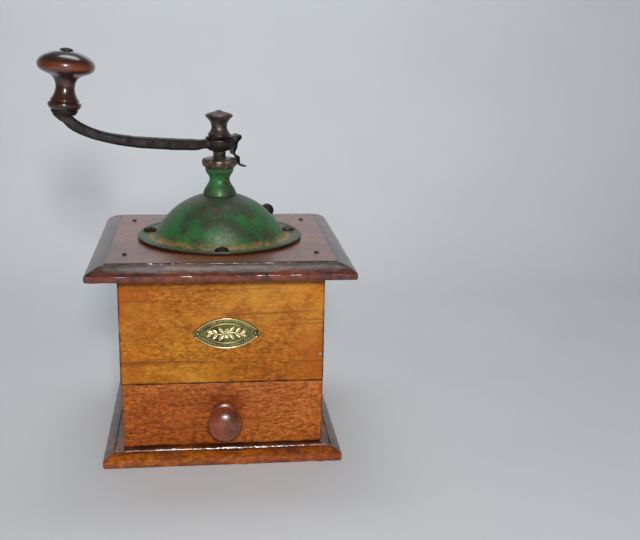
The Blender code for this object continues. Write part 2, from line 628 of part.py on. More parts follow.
def make_crank(crank, knob_axis):
    """The forged arm: a boss with a square eye and a rising bar cut flat under the knob."""
    line = [(4, 190.2, 9.4, 5.6), (13.5, 190.2, 9.4, 5.6), (16.5, 190.1, 9.4, 6.9),
            (31, 191.0, 9.4, 7.0), (45, 192.3, 9.3, 7.0), (56, 193.6, 9.1, 6.8),
            (66, 195.3, 8.9, 6.5), (75, 197.5, 8.7, 6.4), (82, 199.95, 8.5, 6.6),
            (88, 202.8, 8.4, 6.9), (92.4, 205.65, 8.3, 7.1), (97.0, 209.8, 8.2, 7.1),
            (103.5, 215.6, 8.0, 7.0)]
    sections = []
    for i, (s, z, width, thick) in enumerate(line):
        before, after = line[max(i - 1, 0)], line[min(i + 1, len(line) - 1)]
        slope = math.degrees(math.atan2(after[1] - before[1], after[0] - before[0]))
        sections.append(arm_section(s, z, slope, width, thick))
    arm = part("crank_arm", loft_mesh("crank_arm", sections), "dark_iron", parent=crank)
    boss = [(0, BOSS_HIGH), (BOSS_RADIUS - 0.4, BOSS_HIGH), (BOSS_RADIUS, BOSS_HIGH - 0.6),
            (BOSS_RADIUS - 0.1, 190.8), (8.9, 188.6), (7.8, 187.0), (6.9, BOSS_LOW), (0, BOSS_LOW)]
    boss_mesh = applied(turned("crank_boss", boss, "dark_iron", steps=28))
    combine(arm, cutter("crank_boss", boss_mesh, parent=crank), "UNION")
    seat = block_mesh("knob_seat", (30, 30, 12))
    combine(arm, cutter("knob_seat", seat, parent=knob_axis, at=(0, 0, 6 - GAP)))
    eye = block_mesh("crank_eye", (SQUARE + 2 * GAP, SQUARE + 2 * GAP, 16.0))
    combine(arm, cutter("crank_eye", eye, parent=crank, at=(0, 0, 190.0)))
    hole = [(0, 3), (RIVET_RADIUS + GAP, 3), (RIVET_RADIUS + GAP, -1.75), (3.3, -2.75), (3.3, -11), (0, -11)]
    combine(arm, cutter("rivet_hole", applied(turned("rivet_hole", hole, "dark_iron", steps=20)),
                        parent=knob_axis))

    base = BOSS_HIGH + STRIP_THICK + 2 * GAP
    bore, bore_top = STUD_RADIUS + GAP, STUD_TOP + 0.6
    outline = [(0, 211.7), (2.6, 210.7), (7.0, 209.3), (8.85, 208.0), (8.4, 207.0), (5.9, 204.5),
               (4.9, 201.6), (5.0, base + 5.2), (6.6, base + 2.6), (7.4, base + 0.9), (7.4, base),
               (bore, base), (bore, bore_top), (0, bore_top)]
    turned("finial_nut", outline, "dark_iron", steps=20, parent=crank)


def make_clip(crank):
    """A spring strip clamped under the finial, curling down outside the adjusting nut."""
    rest = BOSS_HIGH + GAP + STRIP_THICK / 2
    plate_path = [(8.6, rest), (-7.4, rest), (-9.6, 194.55), (-CLIP_BEND[0] + 0.15, CLIP_BEND[1] - 0.04)]
    plate = ribbon("clip_plate", plate_path, STRIP_WIDTH, STRIP_THICK, "dark_iron", parent=crank)
    combine(plate, cutter("clip_hole", rods_mesh("clip_hole", [(0, 0)], STUD_RADIUS + GAP, 190, 198),
                          parent=crank))
    bend = empty("clip_axis", at=(-CLIP_BEND[0], 0, CLIP_BEND[1]), parent=crank)
    leaf = flow([(11.75, 195.04), (12.65, 195.4), (13.35, 194.9), (13.35, 193.8), (12.5, 192.8),
                 (11.4, 191.8), (10.75, 190.5), (10.5, 189.0), (10.2, 187.5), (9.5, 186.2),
                 (9.0, 184.9), (9.1, 183.6), (10.1, 182.6), (11.4, 182.0), (12.05, 180.9),
                 (12.15, 179.4), (12.15, 178.0), (12.6, 176.7), (13.8, 175.7), (16.8, 175.3)], 2)
    path = [(-(s - CLIP_BEND[0]), z - CLIP_BEND[1]) for s, z in leaf]
    ribbon("clip_leaf", path, STRIP_WIDTH, STRIP_THICK, "dark_iron", parent=bend)


def make_knob(knob_axis):
    """The wooden knob turns on a long rivet through the arm's pad."""
    bore = RIVET_RADIUS + GAP
    outline = [(bore, 36.9), (4.8, 37.0), (9.6, 36.1), (14.3, 33.6), (16.7, 30.6), (16.9, 27.9),
               (15.0, 25.5), (10.6, 23.7), (7.6, 22.0), (6.0, 19.2), (5.6, 16.2), (6.3, 12.4),
               (8.0, 9.4), (8.6, 8.4), (9.8, 6.9), (9.7, 5.2), (8.3, 3.2), (bore, 3.2)]
    turned("crank_knob", outline, "dark_varnish", steps=22, ring=True, parent=knob_axis)
    cup = [(bore, 2.9), (7.9, 2.9), (7.3, 1.4), (5.8, 0), (bore, 0)]
    turned("knob_ferrule", cup, "dark_iron", steps=20, ring=True, parent=knob_axis)
    rivet = [(0, 39.2), (2.4, 38.8), (4.1, 37.4), (RIVET_RADIUS, 37.3), (RIVET_RADIUS, -1.9),
             (3.0, -2.9), (3.0, -3.5), (0, -3.5)]
    turned("knob_spindle", rivet, "worn_steel", steps=14, parent=knob_axis)


def main():
    base, top, front, sides = make_case()
    make_nails(base, top, front, sides)
    make_badge(front)
    make_drawer()
    make_dome(top)
    make_hatch()
    make_neck()
    make_burrs(top)
    crank = empty("crank_axis", turn=(0, 0, CRANK_AZIMUTH))
    knob_axis = empty("knob_axis", at=(KNOB_FOOT[0], 0, KNOB_FOOT[1]), turn=(0, -KNOB_LEAN, 0),
                      parent=crank)
    make_adjusting_nut(crank)
    make_spindle(crank)
    make_crank(crank, knob_axis)
    make_clip(crank)
    make_knob(knob_axis)


main()
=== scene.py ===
"""Looks of the hand crank coffee grinder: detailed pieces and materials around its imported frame.

Outlines are in millimetres and angles in degrees; meshes are made in metres in the frame's axes
(+Z up, the drawer faces -Y). A turned outline is (radius, height) and runs down its outer side.
"""

import json
import math

import bmesh
import bpy
from mathutils import Matrix, Vector, noise


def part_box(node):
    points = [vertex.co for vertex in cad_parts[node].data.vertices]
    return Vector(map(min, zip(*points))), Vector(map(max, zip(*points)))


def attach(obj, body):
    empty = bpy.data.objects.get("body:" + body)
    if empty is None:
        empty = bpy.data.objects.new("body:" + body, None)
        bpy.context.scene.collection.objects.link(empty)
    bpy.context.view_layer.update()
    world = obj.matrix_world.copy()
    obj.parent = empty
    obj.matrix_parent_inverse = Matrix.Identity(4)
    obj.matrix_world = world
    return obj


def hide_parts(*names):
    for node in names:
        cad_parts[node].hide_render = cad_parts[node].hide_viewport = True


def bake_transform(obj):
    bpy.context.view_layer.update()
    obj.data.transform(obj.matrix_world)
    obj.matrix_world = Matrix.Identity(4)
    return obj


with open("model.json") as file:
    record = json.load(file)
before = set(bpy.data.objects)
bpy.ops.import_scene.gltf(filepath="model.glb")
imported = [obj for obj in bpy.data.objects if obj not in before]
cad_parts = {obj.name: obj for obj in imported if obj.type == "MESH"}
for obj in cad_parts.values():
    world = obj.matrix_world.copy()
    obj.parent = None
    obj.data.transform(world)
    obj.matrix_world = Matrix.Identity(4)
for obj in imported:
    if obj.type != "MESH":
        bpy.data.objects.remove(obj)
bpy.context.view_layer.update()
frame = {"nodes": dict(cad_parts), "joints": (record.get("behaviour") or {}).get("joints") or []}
JOINTS = {joint["name"]: joint for joint in frame["joints"]}
MM = 0.001

# Camera: the viewing angle of the photograph
CAMERA_AT = (-0.0115, -0.6212, 0.2752)
CAMERA_YAW, CAMERA_PITCH, CAMERA_ROLL, CAMERA_LENS = 7.20, 15.22, 1.14, 54.05

# Sizes that the frame's boxes don't give
DOME_CENTRE, DOME_RADIUS, SHEET = 112.3, 46.0, 0.9
DOME_HOLE = 6.4                          # for the neck, in the dome and in the hatch's eye
HATCH_RADIUS, HATCH_SHEET = 44.6, 0.8
FILLER_FROM, FILLER_TO, FILLER_LOW, FILLER_HIGH = 20.0, 98.0, 136.0, 152.0
BORE = 4.6                               # of the neck and the adjusting nut
SQUARE_HALF, STUD_RADIUS = 3.0, 3.5      # the spindle's square end and the finial's stud
BOSS_TOP = 193.5
KNOB_BORE, RIVET_SHANK = 2.6, 2.3
CLIP_WIDTH, CLIP_THICK = 9.5, 0.9
DOME_SCREW_HEAD, TOP_NAIL_HEAD, BRAD_HEAD, BADGE_PIN_HEAD = (4.4, 2.2), (1.6, 0.5), (1.2, 0.4), (1.4, 0.7)


# ---------------------------------------------------------------- numbers and outlines

def rgb(red, green, blue):
    """A display colour of 0 to 255 as linear light."""
    return tuple((c / 255 / 12.92) if c <= 10 else ((c / 255 + 0.055) / 1.055) ** 2.4
                 for c in (red, green, blue))


def box(node):
    """Lowest and highest corner of a CAD node, in millimetres."""
    return [[value / MM for value in corner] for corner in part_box(node)]


def arc(centre_r, centre_z, radius, start, end, count):
    """Points along an arc, from one angle to another."""
    turns = [math.radians(start + (end - start) * i / count) for i in range(count + 1)]
    return [(centre_r + radius * math.cos(t), centre_z + radius * math.sin(t)) for t in turns]


def flow(points, count=4):
    """A smooth curve through points of any size, with count steps between neighbours."""
    ends = [points[0], *points, points[-1]]
    out = []
    for before, here, there, after in zip(ends, ends[1:], ends[2:], ends[3:]):
        for i in range(count):
            t = i / count
            out.append(tuple(
                0.5 * (2 * b + (c - a) * t + (2 * a - 5 * b + 4 * c - d) * t ** 2
                       + (3 * b - a - 3 * c + d) * t ** 3)
                for a, b, c, d in zip(before, here, there, after)))
    return out + [tuple(points[-1])]


def frame_of(azimuth):
    """The upright frame whose X axis points at this azimuth."""
    return Matrix.Rotation(math.radians(azimuth), 4, "Z")


def middle_of(node):
    """The middle of a CAD node's box, in millimetres."""
    low, high = box(node)
    return [(a + b) / 2 for a, b in zip(low, high)]


def at(x, y, z):
    """A move to a place in millimetres."""
    return Matrix.Translation(Vector((x, y, z)) * MM)


knob_at = Vector(JOINTS["knob_spin"]["pos_m"])
knob_up = Vector(JOINTS["knob_spin"]["axis"])
CRANK_AZIMUTH = math.degrees(math.atan2(knob_at.y, knob_at.x))
CRANK = frame_of(CRANK_AZIMUTH)
KNOB_LEAN = math.acos(knob_up.z)
KNOB = Matrix.Translation(knob_at) @ CRANK @ Matrix.Rotation(-KNOB_LEAN, 4, "Y")
FACING = Matrix.Rotation(math.radians(90), 4, "X")       # local Z points out of the front


# ---------------------------------------------------------------- mesh tools

def skin(bm, upper, lower):
    """Faces between two closed rows of vertices, either of which may be a single point."""
    count = max(len(upper), len(lower))
    for i in range(count):
        j = (i + 1) % count
        corners = [upper[i % len(upper)], upper[j % len(upper)],
                   lower[j % len(lower)], lower[i % len(lower)]]
        unique = [v for n, v in enumerate(corners) if v not in corners[:n]]
        bm.faces.new(unique)


def rings(bm, rows, place=Matrix(), around=False, caps=False):
    """A skin over rows of points in millimetres."""
    made = [[bm.verts.new(place @ (Vector(point) * MM)) for point in row] for row in rows]
    for upper, lower in zip(made, made[1:]):
        skin(bm, upper, lower)
    if around:
        skin(bm, made[-1], made[0])
    if caps:
        bm.faces.new(made[0])
        bm.faces.new(made[-1])
    return bm


def lathe(outline, steps=64, ring=False, place=Matrix(), shape=None, bm=None):
    """A turned solid. shape may change the radius at an angle: shape(radius, height, angle)."""
    turns = [2 * math.pi * i / steps for i in range(steps)]
    rows = []
    for r, z in outline:
        if r < 1e-6:
            rows.append([(0, 0, z)])
            continue
        radii = [shape(r, z, t) if shape else r for t in turns]
        rows.append([(q * math.cos(t), q * math.sin(t), z) for q, t in zip(radii, turns)])
    return rings(bm or bmesh.new(), rows, place, around=ring)


def block(low, high, place=Matrix()):
    """A plain box between two corners, used as a cutter."""
    bm = bmesh.new()
    size = (Vector(high) - Vector(low)) * MM
    middle = Matrix.Translation((Vector(high) + Vector(low)) / 2 * MM)
    bmesh.ops.create_cube(bm, size=1.0, matrix=place @ middle @ Matrix.Diagonal((*size, 1.0)))
    return bm


def loose(bm, name="tool"):
    """A plain object made of a bmesh, which is freed."""
    bmesh.ops.recalc_face_normals(bm, faces=bm.faces)
    mesh = bpy.data.meshes.new(name)
    bm.to_mesh(mesh)
    bm.free()
    made = bpy.data.objects.new(name, mesh)
    bpy.context.scene.collection.objects.link(made)
    return made


def evaluated(thing, *extra):
    """The bmesh of an object with its modifiers applied; the objects are removed."""
    bpy.context.view_layer.update()
    graph = bpy.context.evaluated_depsgraph_get()
    bm = bmesh.new()
    bm.from_mesh(thing.evaluated_get(graph).to_mesh())
    for one in (thing, *extra):
        bpy.data.objects.remove(one, do_unlink=True)
    return bm


def boolean(body, tool, operation="DIFFERENCE"):
    """Two closed bmeshes joined, cut or intersected."""
    thing, other = loose(body), loose(tool)
    step = thing.modifiers.new("boolean", "BOOLEAN")
    step.object, step.operation, step.solver = other, operation, "EXACT"
    return evaluated(thing, other)


def melted(bm, voxel, passes):
    """Overlapping solids fused into one skin with softened joints, like a forging."""
    thing = loose(bm)
    remesh = thing.modifiers.new("fuse", "REMESH")
    remesh.mode, remesh.voxel_size = "VOXEL", voxel * MM
    smooth = thing.modifiers.new("soften", "SMOOTH")
    smooth.factor, smooth.iterations = 0.5, passes
    return evaluated(thing)


def wobble(bm, depth, size, keep=None):
    """Small unevenness along the normals: depth and size in millimetres."""
    bm.normal_update()
    moves = []
    for v in bm.verts:
        if keep is None or keep(v.co / MM):
            moves.append((v, v.normal * (noise.noise(v.co / (size * MM)) * depth * MM)))
    for v, move in moves:
        v.co += move
    return bm


def dent(bm, centre, radius, depth):
    """Presses a small hollow into the surface near a point."""
    middle = Vector(centre) * MM
    for v in bm.verts:
        far = (v.co - middle).length / (radius * MM)
        if far < 1:
            v.co -= v.normal * (depth * MM * (1 - far * far) ** 2)
    return bm


def finished(name, bm, material, sharp):
    """A smooth object with its material, whose edges past an angle stay sharp."""
    made = loose(bm, name)
    made.data.shade_smooth()
    made.data.set_sharp_from_angle(angle=math.radians(sharp))
    made.data.materials.append(material)
    return made


def piece(node, bm, material, body, sharp=35):
    """A finished piece that rides on a body and stands for the CAD node of its name."""
    made = finished(node + "_look", bm, material, sharp)
    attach(made, body)
    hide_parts(node)


# ---------------------------------------------------------------- material tools

class Graph:
    """A short way to write one material's nodes."""

    def __init__(self, name):
        self.material = bpy.data.materials.new(name)
        self.material.use_nodes = True
        self.tree = self.material.node_tree
        self.shader = self.tree.nodes["Principled BSDF"]
        self.place = self.add("ShaderNodeTexCoord").outputs["Object"]

    def patchy(self, scale, detail, low, high, least, most, rough=0.5, bend=0.0, vector=None):
        """A noise that runs from least to most, as a share of a stain."""
        return self.ramp(self.noise(scale, detail, rough, bend, vector), low, high, least, most)

    def level(self, letter, low, high, dark=0.0, light=1.0):
        """A place along an axis of the object, in millimetres, from dark to light."""
        return self.ramp(self.axis(letter), low * MM, high * MM, dark, light)

    def either_side(self, letter, low, high, dark=0.0, light=1.0):
        """The same, measured both ways from the middle."""
        return self.ramp(self.math("ABSOLUTE", self.axis(letter)), low * MM, high * MM, dark, light)

    def highest(self, first, *values):
        """The highest of several values."""
        for value in values:
            first = self.math("MAXIMUM", first, value)
        return first

    def add(self, kind, **settings):
        node = self.tree.nodes.new(kind)
        for key, value in settings.items():
            setattr(node, key, value)
        return node

    def feed(self, socket, value):
        if isinstance(value, bpy.types.NodeSocket):
            self.tree.links.new(value, socket)
        elif socket.type == "RGBA" and len(value) == 3:
            socket.default_value = (*value, 1.0)
        else:
            socket.default_value = value

    def stretched(self, scale, at=(0, 0, 0)):
        node = self.add("ShaderNodeMapping")
        self.feed(node.inputs["Vector"], self.place)
        self.feed(node.inputs["Scale"], scale)
        self.feed(node.inputs["Location"], at)
        return node.outputs["Vector"]

    def noise(self, scale, detail=3.0, rough=0.5, bend=0.0, vector=None):
        node = self.add("ShaderNodeTexNoise")
        self.feed(node.inputs["Vector"], vector or self.place)
        for key, value in (("Scale", scale), ("Detail", detail), ("Roughness", rough),
                           ("Distortion", bend)):
            self.feed(node.inputs[key], value)
        return node.outputs["Fac"]

    def ramp(self, value, low, high, dark=0.0, light=1.0):
        """Maps low..high of a value to dark..light, clamped and smooth."""
        node = self.add("ShaderNodeMapRange", interpolation_type="SMOOTHSTEP")
        for key, number in (("Value", value), ("From Min", low), ("From Max", high),
                            ("To Min", dark), ("To Max", light)):
            self.feed(node.inputs[key], number)
        return node.outputs["Result"]

    def math(self, operation, a, b=0.0):
        node = self.add("ShaderNodeMath", operation=operation, use_clamp=False)
        self.feed(node.inputs[0], a)
        self.feed(node.inputs[1], b)
        return node.outputs[0]

    def times(self, *values):
        out = values[0]
        for value in values[1:]:
            out = self.math("MULTIPLY", out, value)
        return out

    def mix(self, share, a, b, blend="MIX"):
        node = self.add("ShaderNodeMix", data_type="RGBA", blend_type=blend)
        self.feed(node.inputs[0], share)
        self.feed(node.inputs[6], a)
        self.feed(node.inputs[7], b)
        return node.outputs[2]

    def axis(self, letter):
        node = self.add("ShaderNodeSeparateXYZ")
        self.feed(node.inputs[0], self.place)
        return node.outputs[letter]

    def near(self, centre, radius, soft=0.5):
        """1 at a point of the object, falling to 0 at a radius, in millimetres."""
        node = self.add("ShaderNodeVectorMath", operation="DISTANCE")
        self.feed(node.inputs[0], self.place)
        self.feed(node.inputs[1], [value * MM for value in centre])
        return self.ramp(node.outputs["Value"], radius * MM * (1 - soft), radius * MM, 1.0, 0.0)

    def bump(self, height, depth, strength=1.0, under=None):
        node = self.add("ShaderNodeBump")
        self.feed(node.inputs["Height"], height)
        node.inputs["Distance"].default_value = depth * MM
        node.inputs["Strength"].default_value = strength
        if under is not None:
            self.feed(node.inputs["Normal"], under)
        return node.outputs["Normal"]

    def finish(self, colour, rough, metal=0.0, normal=None, coat=0.0, coat_rough=0.2, shine=0.5):
        put = self.shader.inputs
        put["Specular IOR Level"].default_value = shine
        self.feed(put["Base Color"], colour)
        self.feed(put["Roughness"], rough)
        self.feed(put["Metallic"], metal)
        put["Coat Weight"].default_value = coat
        put["Coat Roughness"].default_value = coat_rough
        if normal is not None:
            self.feed(put["Normal"], normal)
            self.feed(put["Coat Normal"], normal)
        return self.material


def along(grain, length, across):
    """Texture scale for wood whose grain runs along X, Y or Z."""
    return tuple(length if letter == grain else across for letter in "XYZ")


def wood(name, light, middle, dark, grain="X", figure=14.0, fleck=0.5, curl=0.5, rough=0.4,
         coat=0.5, coat_rough=0.25, zones=(), seed=0.0, shine=0.2):
    """Close-grained wood: broad figure, wavy grain lines, short dark ray flecks and mottled curl.

    zones are (function of the graph, colour) pairs that tint parts of the surface."""
    g = Graph(name)
    at = (seed, seed * 0.7, seed * 1.3)
    broad = g.noise(figure, 4, 0.6, 0.8, g.stretched(along(grain, 0.45, 1.0), at))
    waves = g.noise(1.0, 3, 0.6, 1.6, g.stretched(along(grain, 75, 620), at))
    dashes = g.noise(1.0, 2, 0.55, 0.9, g.stretched(along(grain, 260, 1500), at))
    mottle = g.noise(1.0, 3, 0.6, 0.5, g.stretched(along(grain, 300, 420), at))
    speck = g.noise(1500, 2, 0.6)
    colour = g.mix(g.ramp(broad, 0.36, 0.64), light, middle)
    colour = g.mix(g.math("MULTIPLY", g.ramp(waves, 0.44, 0.66), curl * 0.7), colour, dark)
    colour = g.mix(g.math("MULTIPLY", g.ramp(dashes, 0.50, 0.64), fleck), colour, dark)
    colour = g.mix(1.0, colour, g.ramp(mottle, 0.32, 0.68, 1.0 - 0.6 * curl, 1.0 + 0.5 * curl), "MULTIPLY")
    colour = g.mix(1.0, colour, g.ramp(speck, 0.25, 0.75, 0.86, 1.14), "MULTIPLY")
    for zone, tint in zones:
        colour = g.mix(zone(g), colour, tint)
    height = g.math("ADD", g.math("MULTIPLY", dashes, -0.7), g.math("MULTIPLY", mottle, 0.6))
    normal = g.bump(height, 0.16, 0.7)
    normal = g.bump(broad, 0.9, 0.5, normal)
    roughness = g.ramp(dashes, 0.4, 0.7, rough, rough + 0.15)
    return g.finish(colour, roughness, 0.0, normal, coat, coat_rough, shine)


# ---------------------------------------------------------------- materials

def golden_beech(name, foot_z, across="X", seed=0.0):
    """The varnished panels; across is the world axis that runs along the panel."""
    reach = 62.5 if across == "X" else 54.5

    def from_middle(g):
        return g.math("ABSOLUTE", g.axis(across))

    def warm_edges(g):
        return g.times(g.either_side(across, reach - 30, reach, 0.0, 0.75),
                       g.patchy(30, 4, 0.32, 0.66, 0.2, 1.0))

    def pale_patches(g):
        return g.patchy(26, 4, 0.48, 0.68, 0.0, 0.6, 0.6, 0.4, g.stretched((1, 1, 1), (seed, 3.0, seed)))

    def streaks(g):
        lengthwise = g.stretched(along(across, 9, 260), (seed, 1.0, seed))
        return g.patchy(1.0, 3, 0.60, 0.72, 0.0, 0.7, 0.6, 0.6, lengthwise)

    # Dark corner edges, with painted shade along the panel's foot and a painted shadow band just under the
    # top board's overhang.
    def rim_grime_and_shadow(g):
        edge = g.highest(g.either_side(across, reach - 1.8, reach - 0.2), g.level("Z", 117.2, 119.6),
                         g.level("Z", foot_z, foot_z + 1.0, 1.0, 0.0))
        return g.times(edge, g.patchy(150, 4, 0.34, 0.6, 0.25, 0.95))

    def scratches(g):
        return g.patchy(1.0, 3, 0.64, 0.70, 0.0, 0.5, 0.7, 2.0, g.stretched((90, 90, 380)))

    zones = [(warm_edges, rgb(166, 84, 10)), (pale_patches, rgb(204, 140, 46)),
             (streaks, rgb(120, 62, 12)), (scratches, rgb(210, 158, 84)), (rim_grime_and_shadow, rgb(66, 34, 10))]
    return wood(name, rgb(196, 124, 24), rgb(176, 100, 14), rgb(112, 54, 6), across, 16, 0.6, 0.6,
                0.42, 0.3, 0.3, zones, seed, 0.12)


def drawer_wood(name):
    def knob_grime(g):
        return g.times(g.near((0.8, -62.3, 38.0), 18, 0.9), g.patchy(120, 3, 0.3, 0.6, 0.2, 0.8))

    def smudges(g):
        return g.times(g.near((-12.0, -62.3, 12.0), 13, 0.95), g.patchy(150, 4, 0.42, 0.6, 0.0, 0.85))

    # Painted shade along the gaps around the drawer front: its sides, its top edge under the panel and its
    # foot above the base.
    def gap_shade_rim(g):
        edge = g.highest(g.either_side("X", 61.0, 62.2), g.level("Z", 49.6, 50.3),
                         g.level("Z", 9.2, 11.0, 1.0, 0.0))
        return g.times(edge, g.patchy(130, 4, 0.34, 0.58, 0.3, 1.0))

    def arches(g):
        lines = g.patchy(1.0, 3, 0.5, 0.62, 0.0, 0.7, 0.6, 1.2, g.stretched((22, 1, 330)))
        return g.times(g.near((4, -62, 44), 40, 0.9), lines)

    zones = [(knob_grime, rgb(126, 46, 8)), (arches, rgb(104, 44, 14)), (smudges, rgb(70, 28, 10)),
             (gap_shade_rim, rgb(60, 28, 12))]
    return wood(name, rgb(196, 112, 44), rgb(172, 88, 30), rgb(96, 38, 10), "X", 20, 0.75, 0.55,
                0.45, 0.12, 0.35, zones, 3.1, 0.15)


def base_wood(name):
    top = box("base_board")[1][2]

    # Painted shade on the ledge and the top of the moulding, in the corner where the case stands on the
    # base.
    def ledge_shade(g):
        return g.times(g.level("Z", top - 1.6, top - 0.4), g.patchy(55, 4, 0.30, 0.62, 0.35, 1.0))

    def foot_wear(g):
        return g.times(g.level("Z", 0.0, 4.0, 1.0, 0.0), g.patchy(90, 5, 0.40, 0.58, 0.0, 0.9, 0.65))

    def purple_bloom(g):
        return g.times(g.patchy(34, 5, 0.50, 0.64, 0.0, 0.75, 0.65, 0.8), g.level("Z", 3.0, 7.5))

    # Painted shade with some grime: the base's moulded sides, which turn away from the light, darkened
    # grey-brown.
    def side_shade_and_grime(g):
        return g.times(g.either_side("X", 65.5, 67.5), g.level("Y", -71.5, -66.0),
                       g.patchy(60, 5, 0.34, 0.6, 0.35, 0.95, 0.65))

    zones = [(ledge_shade, rgb(66, 32, 18)), (foot_wear, rgb(96, 44, 16)), (purple_bloom, rgb(70, 40, 34)),
             (side_shade_and_grime, rgb(62, 46, 36))]
    return wood(name, rgb(186, 102, 26), rgb(162, 80, 14), rgb(88, 36, 8), "X", 22, 0.55, 0.6,
                0.34, 0.7, 0.12, zones, 5.3)


def worn_and_shaded_top(name):
    low, high = box("top_board")
    flat_z, nose_z = high[2] - 0.25, low[2] + 3.7

    # Darker edge wood, with painted shade: the whole moulding below the flat is darkened for the dark room
    # its sloping face reflects.
    def dark_and_shaded_edge(g):
        patch = g.patchy(24, 5, 0.36, 0.56, 0.62, 1.0, 0.65, 0.6, g.stretched((1.0, 1.0, 0.6)))
        return g.times(g.level("Z", flat_z - 0.3, flat_z, 1.0, 0.0), patch)

    def red_wear(g):
        band = g.times(g.level("Z", nose_z + 3.2, nose_z - 0.4),
                       g.level("Z", low[2], low[2] + 1.2, 0.25, 1.0))
        return g.times(band, g.patchy(90, 6, 0.44, 0.60, 0.1, 0.85, 0.75, 1.0))

    def drips(g):
        lines = g.patchy(1.0, 4, 0.50, 0.64, 0.0, 0.75, 0.65, 0.6, g.stretched((210, 210, 40)))
        return g.times(g.level("Z", flat_z - 0.9, flat_z - 0.2, 1.0, 0.0), lines)

    def groove(g):
        across = g.highest(*[g.math("ABSOLUTE", g.axis(letter)) for letter in "XY"])
        inside = g.ramp(across, 68.3 * MM, 68.8 * MM)
        outside = g.ramp(across, 69.3 * MM, 69.9 * MM, 1.0, 0.0)
        return g.times(inside, outside, g.patchy(90, 3, 0.3, 0.55, 0.35, 1.0))

    def scuffs(g):
        marks = g.patchy(30, 5, 0.52, 0.66, 0.0, 0.7, 0.7, 0.6, g.stretched((0.6, 1.0, 1.0)))
        return g.times(marks, g.level("Z", flat_z - 0.2, flat_z))

    zones = [(dark_and_shaded_edge, rgb(50, 26, 20)), (drips, rgb(106, 44, 26)), (red_wear, rgb(132, 56, 34)),
             (scuffs, rgb(76, 36, 20)), (groove, rgb(30, 15, 11))]
    return wood(name, rgb(150, 78, 34), rgb(128, 60, 22), rgb(70, 28, 10), "X", 18, 0.4, 0.45,
                0.36, 0.8, 0.2, zones, 8.7, 0.25)


def plain_wood(name, grain="Y"):
    return wood(name, rgb(190, 150, 98), rgb(172, 128, 78), rgb(122, 82, 44), grain, 18, 0.5, 0.4,
                0.62, 0.0, 0.4, (), 11.0)


def dark_varnish(name, light, middle, dark, coat_rough=0.08, zones=()):
    g = Graph(name)
    streaks = g.noise(1.0, 4, 0.6, 0.6, g.stretched((150, 420, 150)))
    broad = g.noise(60, 3, 0.5)
    fine = g.noise(420, 4, 0.65)
    colour = g.mix(g.ramp(streaks, 0.35, 0.65), light, middle)
    colour = g.mix(g.ramp(broad, 0.42, 0.66, 0.0, 0.8), colour, dark)
    colour = g.mix(1.0, colour, g.ramp(fine, 0.3, 0.7, 0.75, 1.2), "MULTIPLY")
    for zone, tint in zones:
        colour = g.mix(zone(g), colour, tint)
    normal = g.bump(broad, 0.25, 0.35)
    return g.finish(colour, 0.32, 0.0, normal, 0.8, coat_rough)


def knob_varnish():
    """Darker on top, with painted shade in the hollow under the mushroom's brim, worn warm on the lower
    side of the mushroom.
    """
    up = knob_up

    def height(g):
        node = g.add("ShaderNodeVectorMath", operation="DOT_PRODUCT")
        g.feed(node.inputs[0], g.place)
        g.feed(node.inputs[1], tuple(up))
        return node.outputs["Value"]
    foot = knob_at.dot(up)

    def band(low, high, most):
        def zone(g):
            level = height(g)
            rise = g.ramp(level, foot + (low - 1.5) * MM, foot + (low + 1.5) * MM)
            fall = g.ramp(level, foot + (high - 1.5) * MM, foot + (high + 1.5) * MM, 1.0, 0.0)
            return g.times(rise, fall, g.ramp(g.noise(120, 4, 0.6), 0.32, 0.6, 0.35, most))
        return zone
    # The band from 20 to 25.5 mm is painted shade in the hollow under the mushroom's brim.
    zones = [(band(26.0, 31.0, 0.9), rgb(118, 54, 20)), (band(9.0, 20.0, 0.6), rgb(64, 28, 12)),
             (band(33.0, 45.0, 0.9), rgb(34, 22, 16)), (band(20.0, 25.5, 0.8), rgb(26, 13, 8)),
             (band(2.0, 4.6, 0.8), rgb(30, 17, 12))]
    return dark_varnish("crank_knob_varnish", rgb(70, 31, 16), rgb(52, 22, 11), rgb(26, 12, 8), 0.1, zones)


